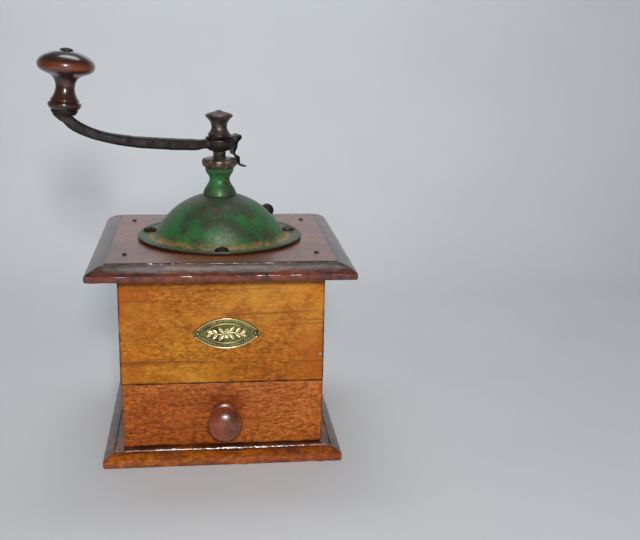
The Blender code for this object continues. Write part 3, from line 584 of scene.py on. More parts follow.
def green_enamel(name, patches=(), bright=(), bald=0.5, dust_and_highlight=True):
    """Old green enamel on sheet steel: speckled through to dark metal, stained ochre at its foot, with a
    painted highlight low on its front.

    patches are ((x, y, z), radius) places in millimetres where it is worn through most, and
    bright are places where the paint is freshest."""
    g = Graph(name)
    grit = g.noise(1150, 4, 0.7, 0.5)
    fine = g.noise(560, 4, 0.66, 0.5)
    middle = g.noise(170, 5, 0.68, 0.8)
    broad = g.noise(42, 4, 0.6, 0.8)
    paint = g.mix(g.ramp(broad, 0.36, 0.62), rgb(34, 108, 58), rgb(44, 92, 50))
    paint = g.mix(g.ramp(middle, 0.46, 0.62, 0.0, 0.7), paint, rgb(74, 116, 54))
    for centre, radius in bright:
        paint = g.mix(g.times(g.near(centre, radius, 0.9), g.ramp(middle, 0.3, 0.56, 0.9, 0.35)),
                      paint, rgb(34, 132, 66))
    paint = g.mix(1.0, paint, g.ramp(grit, 0.28, 0.72, 0.72, 1.25), "MULTIPLY")
    ragged = g.math("ADD", g.math("MULTIPLY", fine, 0.5), g.math("MULTIPLY", grit, 0.5))
    edge = 0.625 - 0.06 * bald
    drift = g.math("MULTIPLY", g.ramp(middle, 0.36, 0.64, -1.0, 1.0), 0.035)
    ragged = g.math("ADD", ragged, drift)
    wear = g.ramp(ragged, edge, edge + 0.035)
    for centre, radius in patches:
        spot = g.math("MULTIPLY", g.near(centre, radius * 1.35, 0.75), 0.155)
        wear = g.math("MAXIMUM", wear, g.ramp(g.math("ADD", ragged, spot), edge, edge + 0.035))
    bare = g.mix(g.ramp(fine, 0.38, 0.62), rgb(44, 34, 33), rgb(84, 68, 62))
    bare = g.mix(g.ramp(broad, 0.48, 0.64, 0.0, 0.8), bare, rgb(92, 78, 64))
    colour = g.mix(g.math("MULTIPLY", wear, 0.88), paint, bare)
    if dust_and_highlight:
        dirt = g.times(g.level("Z", 130.4, 134.4, 1.0, 0.0), g.near((0, 0, 131.5), 47.5, 0.05),
                       g.ramp(middle, 0.36, 0.58, 0.05, 0.95))
        colour = g.mix(dirt, colour, rgb(164, 124, 70))
        flange = g.math("SUBTRACT", 1.0, g.near((0, 0, 131.0), 48.5, 0.05))
        colour = g.mix(g.times(flange, g.ramp(middle, 0.34, 0.6, 0.25, 0.9)), colour, rgb(108, 106, 82))
        crust = g.times(flange, g.ramp(ragged, 0.53, 0.57, 0.0, 0.85))
        colour = g.mix(crust, colour, rgb(60, 54, 44))
        rim = g.math("SUBTRACT", 1.0, g.near((0, 0, 131.0), 53.4, 0.018))
        colour = g.mix(g.times(rim, g.ramp(middle, 0.3, 0.5, 0.6, 1.0)), colour, rgb(34, 30, 26))
        crown = g.times(g.level("Z", 148, 157), g.ramp(middle, 0.36, 0.56, 0.35, 0.9))
        colour = g.mix(crown, colour, rgb(78, 74, 66))
        # A painted highlight: a pale grey-green patch low on the front of the dome, where the key light
        # shines back.
        painted_highlight = g.times(g.near((0, -40, 139), 13, 0.9), g.ramp(ragged, 0.47, 0.56, 0.1, 0.8))
        colour = g.mix(painted_highlight, colour, rgb(142, 150, 132))
    height = g.math("SUBTRACT", g.math("MULTIPLY", fine, 0.5), wear)
    normal = g.bump(height, 0.14, 0.8)
    rough = g.ramp(fine, 0.3, 0.7, 0.4, 0.6)
    return g.finish(colour, rough, g.ramp(wear, 0.0, 1.0, 0.0, 0.3), normal, 0.25, 0.28, 0.4)


def iron(name, light=(92, 84, 80), dark=(58, 51, 49), rust=(104, 66, 44), rusty=0.35, rough=0.42,
         zones=()):
    g = Graph(name)
    fine = g.noise(900, 4, 0.6)
    middle = g.noise(210, 5, 0.6, 0.4)
    colour = g.mix(g.ramp(middle, 0.3, 0.7), rgb(*dark), rgb(*light))
    colour = g.mix(g.times(g.ramp(g.noise(110, 5, 0.65, 0.6), 0.48, 0.66), rusty), colour, rgb(*rust))
    for zone, tint in zones:
        colour = g.mix(zone(g), colour, tint)
    colour = g.mix(g.ramp(fine, 0.52, 0.72, 0.0, 0.6), colour, rgb(30, 26, 25))
    normal = g.bump(g.math("ADD", fine, middle), 0.14, 0.6)
    return g.finish(colour, g.ramp(middle, 0.3, 0.7, rough - 0.08, rough + 0.16), 0.7, normal)


def steel(name):
    return iron(name, (168, 162, 152), (112, 106, 100), (120, 92, 70), 0.25, 0.36)


def aged_brass(name):
    """Tarnish in the hollows of the relief, bright metal on its ridges."""
    g = Graph(name)
    low, high = box("badge_plate")
    ridge = g.level("Y", high[1] - 0.84, low[1] + 0.08)
    spots = g.noise(300, 4, 0.6)
    field = g.mix(g.ramp(spots, 0.35, 0.65), rgb(92, 92, 50), rgb(126, 120, 66))
    field = g.mix(g.ramp(g.noise(110, 4), 0.46, 0.62, 0.0, 0.85), field, rgb(60, 48, 24))
    colour = g.mix(ridge, field, rgb(206, 190, 140))
    normal = g.bump(spots, 0.05, 0.5)
    return g.finish(colour, g.ramp(ridge, 0.0, 1.0, 0.42, 0.24), 0.7, normal)


# ---------------------------------------------------------------- wooden case

def side_stations(count):
    """Places along one side of a square, from -1 to 1, closer together at the corners."""
    middle = [-0.96 + 1.92 * i / count for i in range(count + 1)]
    return [-1.0, -0.995, -0.985] + middle + [0.985, 0.995]


def square_row(half, height, stations, pull=0.35):
    """A square ring whose corners are drawn in a little."""
    row = []
    for quarter in range(4):
        turn = Matrix.Rotation(math.radians(90 * quarter), 2)
        for number, s in enumerate(stations):
            edge = half - (pull if number == 0 else pull * 0.3 if abs(s) > 0.993 else 0)
            x, y = turn @ Vector((s * edge, -edge if number == 0 else -half))
            row.append((x, y, height))
    return row


def disc_row(radius, height, stations):
    """A circle with as many points as a square row, matched to it side by side."""
    row = []
    for quarter in range(4):
        turn = Matrix.Rotation(math.radians(90 * quarter), 2)
        for s in stations:
            angle = math.radians(-90 + 45 * s)
            x, y = turn @ Vector((radius * math.cos(angle), radius * math.sin(angle)))
            row.append((x, y, height))
    return row


def moulding(high, low, flat, half, nose, quirk=2.0, drop=0.6, bulge=0.35):
    """The edge from the flat top to the underside: a groove, a flattened round and a nose.

    bulge is 0 for a plain bevel and 1 for a full quarter round."""
    start, top = flat + quirk, high - drop
    wide, tall = half - start, top - (low + nose)
    face = []
    for i in range(15):
        t = math.radians(6 * i + 3)
        u, v = math.sin(t), 1 - math.cos(t)
        across = (1 - bulge) * (u + v) / 2 + bulge * u
        down = (1 - bulge) * (u + v) / 2 + bulge * v
        face.append((start + wide * across, top - tall * down))
    groove = [(flat, high), (flat + 0.12, high - 0.12), (flat + 0.45, high - 0.85),
              (flat + 0.9, high - 1.0), (flat + 1.35, high - 0.85), (flat + 1.7, top - 0.1)]
    return [(flat - 0.7, high), *groove, *face, (half - 0.05, low + nose - 0.5),
            (half, low + 0.6 * nose), (half - 0.1, low + 0.9), (half - 0.4, low + 0.3),
            (half - 0.9, low + 0.05), (half - 1.5, low)]


def make_board(node, flat, nose, hole, material, dents):
    low, high = box(node)
    stations = side_stations(72)
    edge = moulding(high[2], low[2], flat, high[0], nose)
    rows = []
    if hole:
        rows += [disc_row(hole, z, stations) for z in (low[2], high[2])]
    else:
        rows.append([(0, 0, high[2])])
    rows += [square_row(r, z, stations) for r, z in edge]
    if not hole:
        rows.append([(0, 0, low[2])])
    bm = rings(bmesh.new(), rows, around=bool(hole))
    wobble(bm, 0.22, 9.0, keep=lambda p: max(abs(p.x), abs(p.y)) > flat + 3)
    wobble(bm, 0.14, 2.0, keep=lambda p: max(abs(p.x), abs(p.y)) > flat + 0.05)
    bm.normal_update()
    for centre, radius, depth in dents:
        dent(bm, centre, radius, depth)
    for v in bm.verts:
        v.co = [max(a * MM, min(b * MM, c)) for a, b, c in zip(low, high, v.co)]
    piece(node, bm, material, "case")


def outline_rect(low, high, radii, spacing=2.5):
    """A rectangle in X and Z with its own radius at each corner, from bottom left, anticlockwise."""
    corners = [(low[0], low[2], 180), (high[0], low[2], 270), (high[0], high[2], 0),
               (low[0], high[2], 90)]
    inward = [(1, 1), (-1, 1), (-1, -1), (1, -1)]
    points = []
    for (x, z, start), (sx, sz), radius in zip(corners, inward, radii):
        points += arc(x + sx * radius, z + sz * radius, radius, start, start + 90, 5)
    out = []
    for here, there in zip(points, points[1:] + points[:1]):
        count = max(1, round(math.dist(here, there) / spacing))
        out += [tuple(a + (b - a) * i / count for a, b in zip(here, there)) for i in range(count)]
    return out


def make_panel(node, material, body, radii=(0.4, 0.4, 0.4, 0.4), edge=0.5, turn=0.0):
    """A board whose front face is eased at its edges; turn faces it another way about Z."""
    place = frame_of(turn)
    corners = [place.inverted() @ Vector(corner) for corner in box(node)]
    low = [min(a, b) for a, b in zip(*corners)]
    high = [max(a, b) for a, b in zip(*corners)]
    middle = [(a + b) / 2 for a, b in zip(low, high)]
    outline = outline_rect(low, high, radii)
    steps = [(edge, 0.0), (edge * 0.45, edge * 0.16), (edge * 0.16, edge * 0.45), (0.0, edge)]
    steps += [(0.0, high[1] - low[1] - edge), (edge, high[1] - low[1])]
    rows = []
    for inset, depth in steps:
        kx = 1 - inset / (high[0] - middle[0])
        kz = 1 - inset / (high[2] - middle[2])
        rows.append([(middle[0] + (x - middle[0]) * kx, low[1] + depth,
                      middle[2] + (z - middle[2]) * kz) for x, z in outline])
    bm = rings(bmesh.new(), rows, place, caps=True)
    for v in bm.verts:
        push = abs(noise.noise_vector(v.co / (14 * MM)).x) * 0.12 * MM
        v.co.x += -push if v.co.x > 0 else push
    piece(node, bm, material, body)


def make_case():
    make_board("base_board", 66.1, 4.7, 0, base_wood("base_wood"),
               [((60.0, -73.9, 0.4), 3.2, 0.7), ((12.0, -73.9, 0.3), 4.0, 0.5),
                ((-73.9, -30.0, 0.5), 4.0, 0.6), ((73.9, 22.0, 0.5), 4.0, 0.6)])
    make_board("top_board", 68.55, 3.7, 38.0, worn_and_shaded_top("worn_and_shaded_top"),
               [((-20.0, -79.85, 120.6), 3.0, 0.5), ((79.85, 12.0, 120.6), 4.0, 0.5)])
    make_panel("front_panel", golden_beech("beech_front", 50.8), "case")
    foot_z = box("rear_panel")[0][2]
    make_panel("rear_panel", golden_beech("beech_rear", foot_z, seed=2.0), "case",
               turn=180)
    side = golden_beech("beech_side", foot_z, "Y", 4.4)
    make_panel("left_side", side, "case", turn=-90)
    make_panel("right_side", side, "case", turn=90)


def fastener(node, material, body, head, place, shank, cut=0.0, dome=1.0):
    """A nail or screw whose head is (radius, height), with an optional slot (width)."""
    radius, height = head
    rise = radius * 0.12
    outline = [(0, height)]
    outline += [(radius * math.sin(t), height - height * dome * (1 - math.cos(t)))
                for t in [math.radians(10 * i) for i in range(1, 9)]]
    outline += [(radius, rise), (radius * 0.96, 0), (shank[0], 0), (shank[0], -shank[1]), (0, -shank[1])]
    bm = lathe(outline, 40)
    wobble(bm, 0.05 * radius, 1.6 * radius)
    if cut:
        bm = boolean(bm, block((-2 * radius, -cut / 2, height * 0.52),
                               (2 * radius, cut / 2, height * 2)))
    bm.transform(place)
    piece(node, bm, material, body)


def make_fasteners():
    nail_metal = iron("nail_iron", (96, 70, 58), (60, 42, 34), (96, 54, 34), 0.5, 0.6)
    for number in range(1, 5):
        node = f"top_nail_{number}"
        x, y, _ = middle_of(node)
        fastener(node, nail_metal, "case", TOP_NAIL_HEAD,
                 at(x, y, box(node)[1][2] - TOP_NAIL_HEAD[1]), (0.7, 17.0), dome=0.6)
    x, _, z = middle_of("front_brad")
    place = at(x, box("front_brad")[0][1] + BRAD_HEAD[1], z) @ FACING
    fastener("front_brad", steel("brad_steel"), "case", BRAD_HEAD, place, (0.6, 12.0))


# ---------------------------------------------------------------- badge

def oval_reach(x, half, rise):
    """Half the height of the pointed oval at a place along it."""
    radius = (half ** 2 + rise ** 2) / (2 * rise)
    inside = radius ** 2 - x ** 2
    return math.sqrt(max(inside, 0)) + rise - radius


def hump(distance, width):
    """A rounded bump across a distance, 1 at its middle and 0 at its edge."""
    t = min(abs(distance) / width, 1.0)
    return math.sqrt(1 - t * t)


def bean(x, z, at, turn, size):
    """A coffee bean with its crease, as (height) at a point."""
    c, s = math.cos(math.radians(turn)), math.sin(math.radians(turn))
    u, v = (x - at[0]) * c + (z - at[1]) * s, (z - at[1]) * c - (x - at[0]) * s
    far = math.hypot(u / size[0], v / size[1])
    if far > 1:
        return 0.0
    crease = math.exp(-((v - 0.25 * math.sin(2.2 * u / size[0])) / 0.24) ** 2)
    return math.sqrt(1 - far * far) * (1 - 0.65 * crease)


def leaf(x, z, at, turn, size):
    """A pointed leaf with a midrib and side veins."""
    c, s = math.cos(math.radians(turn)), math.sin(math.radians(turn))
    u, v = (x - at[0]) * c + (z - at[1]) * s, (z - at[1]) * c - (x - at[0]) * s
    along_leaf = u / size[0]
    if not 0 < along_leaf < 1:
        return 0.0
    half = size[1] * math.sin(math.pi * along_leaf) ** 0.8
    if abs(v) >= half:
        return 0.0
    veins = 0.8 + 0.2 * math.cos(9 * (along_leaf + abs(v) / size[0]) * math.pi)
    return veins * (0.75 * hump(v, half) ** 0.5) * (0.55 + 0.45 * min(1, abs(v) / 0.25))


def badge_relief(x, z, half, rise):
    """Height of the stamped relief, in millimetres: rim, beaded border and a coffee sprig."""
    edge = oval_reach(x, half, rise) - abs(z)
    slope = math.cos(math.asin(min(1.0, abs(x) / 27.0)))
    edge *= slope
    edge = min(edge, (half - abs(x)) * 0.55)
    height = 0.34 * hump(edge - 0.62, 0.62)
    inner_half, inner_rise = half - 6.8, rise - 3.9
    inner = (oval_reach(x, inner_half, inner_rise) - abs(z)) if abs(x) < inner_half else -1.0
    height = max(height, 0.22 * hump(inner + 0.1, 0.32))
    if edge > 1.2 and inner < -0.35:
        step = 1.35
        phase = (x / step - round(x / step)) * step
        across = edge - 2.15
        height = max(height, 0.24 * hump(math.hypot(phase, across * 0.62), 0.46))
    if inner > 0.1:
        stem = z - 0.5 * math.sin(x * 0.42)
        motif = 0.5 * hump(stem, 0.34) if abs(x) < inner_half - 3.6 else 0.0
        for side in (-1, 1):
            for number, (along_stem, lean) in enumerate(((1.6, 52), (5.2, 40), (8.4, 24))):
                for flip in (-1, 1):
                    root = (side * along_stem, 0.5 * math.sin(side * along_stem * 0.42))
                    angle = flip * lean if side > 0 else 180 - flip * lean
                    motif = max(motif, leaf(x, z, root, angle, (5.4 - 0.7 * number, 1.3)))
        for at, turn in (((-1.4, 0.1), 65), ((1.5, -0.3), 115), ((0.05, 1.9), 20), ((0.1, -2.1), 160)):
            motif = max(motif, 1.15 * bean(x, z, at, turn, (1.75, 1.2)))
        height = max(height, 0.5 * motif)
    return height


def make_badge():
    brass = aged_brass("stamped_brass")
    low, high = box("badge_plate")
    x, _, z = middle_of("badge_plate")
    centre = Vector((x, high[1], z))
    half, rise, thick = (high[0] - low[0]) / 2, (high[2] - low[2]) / 2, high[1] - low[1]
    place = Matrix.Translation(centre * MM) @ FACING
    samples, count = 340, 78
    outline = []
    for i in range(samples):
        x = -half * math.cos(math.pi * ((i * 2 / samples) % 1.0))
        x = x if i < samples / 2 else -x
        side = 1 if i < samples / 2 else -1
        outline.append((x, side * max(0.0, oval_reach(x, half, rise))))
    rows = [[(0, 0, thick - 0.36 + badge_relief(0, 0, half, rise))]]
    for k in range(1, count + 1):
        share = k / count
        row = []
        for x, z in outline:
            px, pz = x * share, z * share
            base = thick - 0.36 if share < 0.985 else thick - 0.5
            row.append((px, pz, base + min(0.36, badge_relief(px, pz, half, rise))))
        rows.append(row)
    rows.append([(x, z, thick - 0.62) for x, z in outline])
    rows += [[(x, z, 0.0) for x, z in outline], [(0, 0, 0)]]
    bm = rings(bmesh.new(), rows, place)
    spread = centre.x - middle_of("badge_pin_1")[0]
    for v in bm.verts:
        local = place.inverted() @ v.co / MM
        for x in (-spread, spread):
            if local.z > 0.2 and math.hypot(local.x - x, local.y) < 2.1:
                local.z = min(local.z, thick - 0.30)
        v.co = place @ (local * MM)
    piece("badge_plate", bm, brass, "case", sharp=60)
    pin_metal = iron("badge_pin_brass", (150, 140, 104), (86, 78, 56), (70, 56, 40), 0.3, 0.35)
    for number, x in ((1, -spread), (2, spread)):
        node = f"badge_pin_{number}"
        front = box(node)[0][1] + BADGE_PIN_HEAD[1]
        fastener(node, pin_metal, "case", BADGE_PIN_HEAD,
                 at(centre.x + x, front, centre.z) @ FACING, (0.65, 6.0))


# ---------------------------------------------------------------- drawer

def make_drawer():
    make_panel("drawer_front", drawer_wood("drawer_wood"), "drawer",
               (0.8, 2.6, 0.5, 0.5), edge=0.8)
    inner = plain_wood("plain_drawer_wood")
    make_panel("drawer_left", inner, "drawer", turn=-90)
    make_panel("drawer_right", inner, "drawer", turn=90)
    make_panel("drawer_back", plain_wood("plain_drawer_back", "X"), "drawer", turn=180)
    x, _, z = middle_of("drawer_knob")
    place = at(x, box("drawer_front")[0][1], z) @ FACING
    outline = flow([(0.01, 21.15), (2.6, 21.0), (5.2, 20.45), (7.7, 19.4), (9.7, 17.8), (10.7, 15.9),
                    (10.6, 14.1), (9.4, 12.4), (7.6, 11.0), (6.3, 9.6), (5.75, 8.0), (5.6, 6.2),
                    (5.85, 4.6), (6.4, 3.6)], 4)
    outline = [(0, 21.15), *outline[1:], (6.6, 3.3), (7.2, 3.1), (8.1, 2.7), (8.8, 2.0),
               (9.0, 1.1), (8.95, 0.3), (3.4, 0.3), (3.4, -8.6), (0, -8.6)]
    bm = lathe(outline, 72)
    bm.transform(place)
    material = dark_varnish("drawer_knob_varnish", rgb(146, 68, 30), rgb(118, 50, 20), rgb(66, 28, 14),
                            0.3)
    piece("drawer_knob", bm, material, "drawer")


# ---------------------------------------------------------------- hopper

def sphere_angle(radius, at_radius=None, at_height=None):
    """Elevation on a sphere about the dome's centre, from a radius or a height."""
    if at_radius is not None:
        return math.degrees(math.acos(at_radius / radius))
    return math.degrees(math.asin((at_height - DOME_CENTRE) / radius))


def prism(outline, low, high):
    """A flat outline raised from one height to another, as a cutter."""
    bm = bmesh.new()
    return rings(bm, [[(x, y, z) for x, y in outline] for z in (low, high)], caps=True)


def filler_window():
    """A cutter that takes the filler opening out of the dome: a window with rounded corners."""
    corner, near, far = 3.0, 16.0, 60.0
    turn = math.degrees(corner / DOME_RADIUS)
    left, right = FILLER_FROM + turn, FILLER_TO - turn
    bottom, top = FILLER_LOW + corner, FILLER_HIGH - corner
    window = []
    for a, z, first in ((left, bottom, 180), (right, bottom, 270), (right, top, 0), (left, top, 90)):
        for i in range(7):
            t = math.radians(first + 15 * i)
            window.append((a + turn * math.cos(t), z + corner * math.sin(t)))
    points = []
    for here, there in zip(window, window[1:] + window[:1]):
        count = max(1, round(abs(there[0] - here[0]) / 4))
        points += [tuple(a + (b - a) * i / count for a, b in zip(here, there)) for i in range(count)]
    rows = [[(r * math.cos(math.radians(a)), r * math.sin(math.radians(a)), z) for a, z in points]
            for r in (near, far)]
    return rings(bmesh.new(), rows, caps=True)


def make_dome():
    low, high = box("hopper_dome")
    flange_low, flange = low[2], high[0]
    flange_top, roll = flange_low + SHEET, 0.95
    inner = DOME_RADIUS - SHEET
    foot = DOME_RADIUS * math.cos(math.radians(sphere_angle(DOME_RADIUS, at_height=flange_top)))
    fillet = 1.6
    top = arc(0, DOME_CENTRE, DOME_RADIUS, sphere_angle(DOME_RADIUS, at_radius=DOME_HOLE),
              sphere_angle(DOME_RADIUS, at_height=flange_top + fillet), 34)
    sweep = [(foot + 0.22, flange_top + 0.75), (foot + 0.75, flange_top + 0.25), (foot + 1.6, flange_top)]
    rim = arc(flange - roll, flange_low + roll, roll, 150, -90, 12)
    under = arc(0, DOME_CENTRE, inner, sphere_angle(inner, at_height=flange_low),
                sphere_angle(inner, at_radius=DOME_HOLE), 26)
    flat = [(foot + 3.2, flange_top), (foot + 5.4, flange_top)]
    bm = lathe(top + sweep + flat + rim + under, 112, ring=True)
    bm = boolean(bm, filler_window())
    wobble(bm, 0.16, 16, keep=lambda p: p.z > flange_top + 3 and p.z < 155)
    piece("hopper_dome", bm, GREEN, "case", sharp=50)
    screw = iron("dome_screw_iron", (104, 90, 80), (52, 44, 40), (92, 60, 42), 0.4, 0.36)
    black = iron("front_screw_iron", (50, 42, 38), (30, 25, 23), (60, 40, 30), 0.5, 0.5)
    for number, metal in enumerate((screw, screw, black, black), 1):
        node = f"dome_screw_{number}"
        x, y, _ = middle_of(node)
        place = at(x, y, box(node)[1][2] - DOME_SCREW_HEAD[1]) @ frame_of(35 * number)
        fastener(node, metal, "case", DOME_SCREW_HEAD, place, (1.5, 7.0), cut=0.9, dome=0.85)


def make_hatch():
    inner, rim = HATCH_RADIUS - HATCH_SHEET, 39.9
    shell = arc(0, DOME_CENTRE, HATCH_RADIUS, sphere_angle(HATCH_RADIUS, at_radius=DOME_HOLE),
                sphere_angle(HATCH_RADIUS, at_radius=rim), 24)
    shell += arc(0, DOME_CENTRE, inner, sphere_angle(inner, at_radius=rim),
                 sphere_angle(inner, at_radius=DOME_HOLE), 24)
    bm = lathe(shell, 112, ring=True)
    start, end, reach, eye, ease = 14.0, 104.0, 38.9, 13.8, 4.0
    turn = math.degrees(ease / reach)
    outline = arc(0, 0, reach, start + turn, end - turn, 30)
    outline += arc(0, 0, eye, end + 4, start + 360 - 4, 44)
    bm = boolean(bm, prism(outline, 120, 165), "INTERSECT")
    piece("filler_hatch", bm, GREEN_HATCH, "hatch", sharp=50)

    azimuth, elevation = 25.5, 41.0
    aim = (at(0, 0, DOME_CENTRE) @ frame_of(azimuth)
           @ Matrix.Rotation(math.radians(90 - elevation), 4, "Y"))
    outline = [(0, 51.4)] + [(4.5 * math.sin(t), 47.2 + 4.2 * math.cos(t))
                             for t in [math.radians(9 * i) for i in range(1, 11)]]
    outline += [(4.55, 46.8), (4.35, 46.5), (1.6, 46.5), (1.6, 43.4), (2.7, 43.3), (2.4, 42.5), (0, 42.4)]
    bm = lathe(outline, 48)
    bm.transform(aim)
    metal = iron("hatch_knob_iron", (58, 52, 50), (34, 30, 29), (70, 48, 36), 0.3)
    piece("hatch_knob", bm, metal, "hatch")


def make_neck():
    low, high = box("neck_bearing")
    top, seat = high[2], DOME_RADIUS + 0.3
    lip_top = low[2] + 1.2
    bell = flow([(8.5, top), (8.95, top - 0.35), (9.1, top - 1.2), (8.9, top - 2.3), (8.1, top - 3.7),
                 (7.2, top - 5.0), (6.7, top - 6.3), (6.55, top - 7.4), (6.75, top - 8.7),
                 (7.4, top - 10.2), (8.4, top - 11.8), (9.4, top - 13.3), (10.1, top - 14.8),
                 (10.55, top - 16.1), (10.8, top - 17.3)], 3)
    under = arc(0, DOME_CENTRE, seat, sphere_angle(seat, at_radius=10.7),
                sphere_angle(seat, at_radius=6.0), 5)
    outline = [(BORE, top - 0.25), (BORE + 0.25, top), *bell, *under, (6.0, lip_top), (7.4, lip_top),
               (6.9, lip_top - 1.2), (BORE, lip_top - 1.2)]
    bm = lathe(outline, 80, ring=True)
    wobble(bm, 0.14, 5.0, keep=lambda p: p.z > 158)
    piece("neck_bearing", bm, GREEN_NECK, "case", sharp=50)


# ---------------------------------------------------------------- crank, nut and spindle

def make_nut():
    """A scalloped nut: eight lobes with two small studs between neighbours."""
    low, high = box("adjusting_nut")
    bottom, top = low[2], high[2]
    outline = flow([(8.4, top - 0.02), (9.4, top - 0.15), (10.4, top - 0.5), (11.0, top - 1.0),
                    (11.2, top - 1.7), (11.2, top - 2.7), (11.15, top - 3.7), (10.8, top - 4.7),
                    (10.2, top - 5.4), (9.6, bottom)], 4)
    outline = [(BORE, top - 0.3), (BORE + 0.3, top), *outline, (BORE + 0.3, bottom),
               (BORE, bottom + 0.3)]

    def lobed(r, z, t):
        if r < 9.5:
            return r
        phase = (t * 8 / (2 * math.pi)) % 1.0
        return r - 0.8 * min(1.0, (r - 9.5) / 0.8) * (2 * abs(phase - 0.5)) ** 4
    bm = lathe(outline, 192, ring=True, place=CRANK, shape=lobed)
    wobble(bm, 0.12, 1.6, keep=lambda p: math.hypot(p.x, p.y) > 8.5)
    slots, studs = bmesh.new(), bmesh.new()
    for i in range(8):
        turn = CRANK @ frame_of(45.0 * i)
        lathe([(0, 6.5), (0.75, 6.5), (0.75, -6.5), (0, -6.5)], 12, bm=slots,
              place=turn @ at(11.1, 0, 178)
              @ Matrix.Rotation(math.radians(8), 4, "Y") @ Matrix.Diagonal((1.6, 1, 1, 1)))
        for r, z, size in ((10.5, top - 1.9, 0.75), (10.3, top - 4.1, 0.7)):
            bmesh.ops.create_uvsphere(studs, u_segments=14, v_segments=10, radius=size * MM,
                                      matrix=turn @ at(r, 0, z))
    bmesh.ops.recalc_face_normals(slots, faces=slots.faces)
    bm = boolean(boolean(bm, slots), studs, "UNION")
    piece("adjusting_nut", bm, NUT_IRON, "adjusting_nut", sharp=45)


def make_shaft():
    """The spindle: a square seat and stud on top, a thread inside the nut and neck, a burr seat."""
    low, high = box("spindle_shaft")
    shaft, pitch = 4.3, 1.25
    thread_high, thread_low = 185.2, 156.0
    count = 180

    def threaded(r, z, t):
        if not thread_low < z < thread_high:
            return r
        phase = (z / pitch - t / (2 * math.pi)) % 1.0
        return r - 0.5 * (1 - abs(2 * phase - 1))
    outline = [(0, high[2]), (2.8, high[2]), (3.2, high[2] - 0.5), (3.2, 186.3), (4.0, 185.7),
               (shaft, 185.3)]
    outline += [(shaft, thread_high - (thread_high - thread_low) * i / count) for i in range(count + 1)]
    outline += [(shaft, 92.4), (3.8, 92.4), (3.8, 66.0), (3.0, 66.0), (3.0, low[2]), (0, low[2])]
    bm = lathe(outline, 40, place=CRANK, shape=threaded)
    square = block((-SQUARE_HALF, -SQUARE_HALF, 185.0), (SQUARE_HALF, SQUARE_HALF, BOSS_TOP - 0.3), CRANK)
    bm = boolean(bm, square, "UNION")
    metal = iron("shaft_steel", (128, 118, 110), (72, 64, 60), (98, 66, 46), 0.35)
    piece("spindle_shaft", bm, metal, "spindle", sharp=30)


def bar_section(s, z, slope, width, thick, count=28):
    """A rounded bar's cross-section, square to its centre line."""
    lean = math.radians(slope)
    row = []
    for i in range(count):
        t = 2 * math.pi * (i + 0.5) / count
        c, n = math.cos(t), math.sin(t)
        across = width / 2 * math.copysign(abs(c) ** 0.55, c)
        up = thick / 2 * math.copysign(abs(n) ** 0.62, n)
        row.append((s - up * math.sin(lean), across, z + up * math.cos(lean)))
    return row


def make_arm():
    """The forged arm: boss and rising bar run into each other, then the seat, eye and hole are cut."""
    line = flow([(5, 190.3, 9.2, 5.6), (12.5, 190.3, 9.2, 5.8), (16.5, 190.1, 9.4, 6.9),
                 (31, 191.0, 9.5, 7.1), (45, 192.3, 9.4, 7.1), (56, 193.6, 9.2, 6.9),
                 (66, 195.3, 9.0, 6.6), (75, 197.5, 8.8, 6.4), (82, 199.95, 8.6, 6.6),
                 (88, 202.8, 8.5, 6.9), (92.4, 205.65, 8.4, 7.1), (97.0, 209.8, 8.3, 7.1),
                 (103.5, 215.6, 8.0, 7.0)], 5)
    rows = []
    for i, (s, z, width, thick) in enumerate(line):
        before, after = line[max(i - 1, 0)], line[min(i + 1, len(line) - 1)]
        slope = math.degrees(math.atan2(after[1] - before[1], after[0] - before[0]))
        rows.append(bar_section(s, z, slope, width, thick))
    bm = rings(bmesh.new(), rows, CRANK, caps=True)
    boss = flow([(9.2, BOSS_TOP), (9.65, 193.2), (9.75, 192.4), (9.65, 190.8), (9.3, 189.4), (8.6, 188.0),
                 (7.8, 187.0), (6.9, 186.1)], 3)
    lathe([(0, BOSS_TOP), *boss, (6.5, 186.0), (0, 186.0)], 64, place=CRANK, bm=bm)
    bmesh.ops.recalc_face_normals(bm, faces=bm.faces)
    bm = melted(bm, 0.42, 8)
    wobble(bm, 0.14, 9.0)
    wobble(bm, 0.05, 2.2)
    bm = boolean(bm, block((-15, -15, -0.3), (15, 15, 12), KNOB))
    hole = SQUARE_HALF + 0.3
    bm = boolean(bm, block((-hole, -hole, 180.0), (hole, hole, 198.0), CRANK))
    countersink = [(0, 3), (KNOB_BORE, 3), (KNOB_BORE, -1.75), (3.3, -2.75), (3.3, -11), (0, -11)]
    bm = boolean(bm, lathe(countersink, 32, place=KNOB))
    piece("crank_arm", bm, ARM_IRON, "spindle", sharp=40)


def make_finial():
    low, high = box("finial_nut")
    base, top = low[2], high[2]
    head = flow([(0.01, top), (0.9, top - 0.15), (1.7, top - 0.6), (3.0, top - 1.1), (5.0, top - 1.65),
                 (7.2, top - 2.3), (8.5, top - 3.0), (8.85, top - 3.6), (8.6, top - 4.2), (7.9, top - 5.0),
                 (6.8, top - 6.2), (5.9, top - 7.4), (5.3, top - 8.7), (5.0, top - 10.0),
                 (5.05, top - 11.3), (5.4, top - 12.6), (6.1, top - 13.9), (6.9, top - 14.9),
                 (7.45, top - 15.5)], 4)
    outline = [(0, top), *head[1:], (7.4, base + 0.9), (6.9, base + 0.75), (7.1, base + 0.35),
               (6.9, base), (STUD_RADIUS, base), (STUD_RADIUS, 202.6), (0, 202.6)]
    bm = lathe(outline, 72, place=CRANK)
    wobble(bm, 0.08, 4.0, keep=lambda p: p.z > base + 1.2)
    piece("finial_nut", bm, FINIAL_IRON, "spindle", sharp=40)


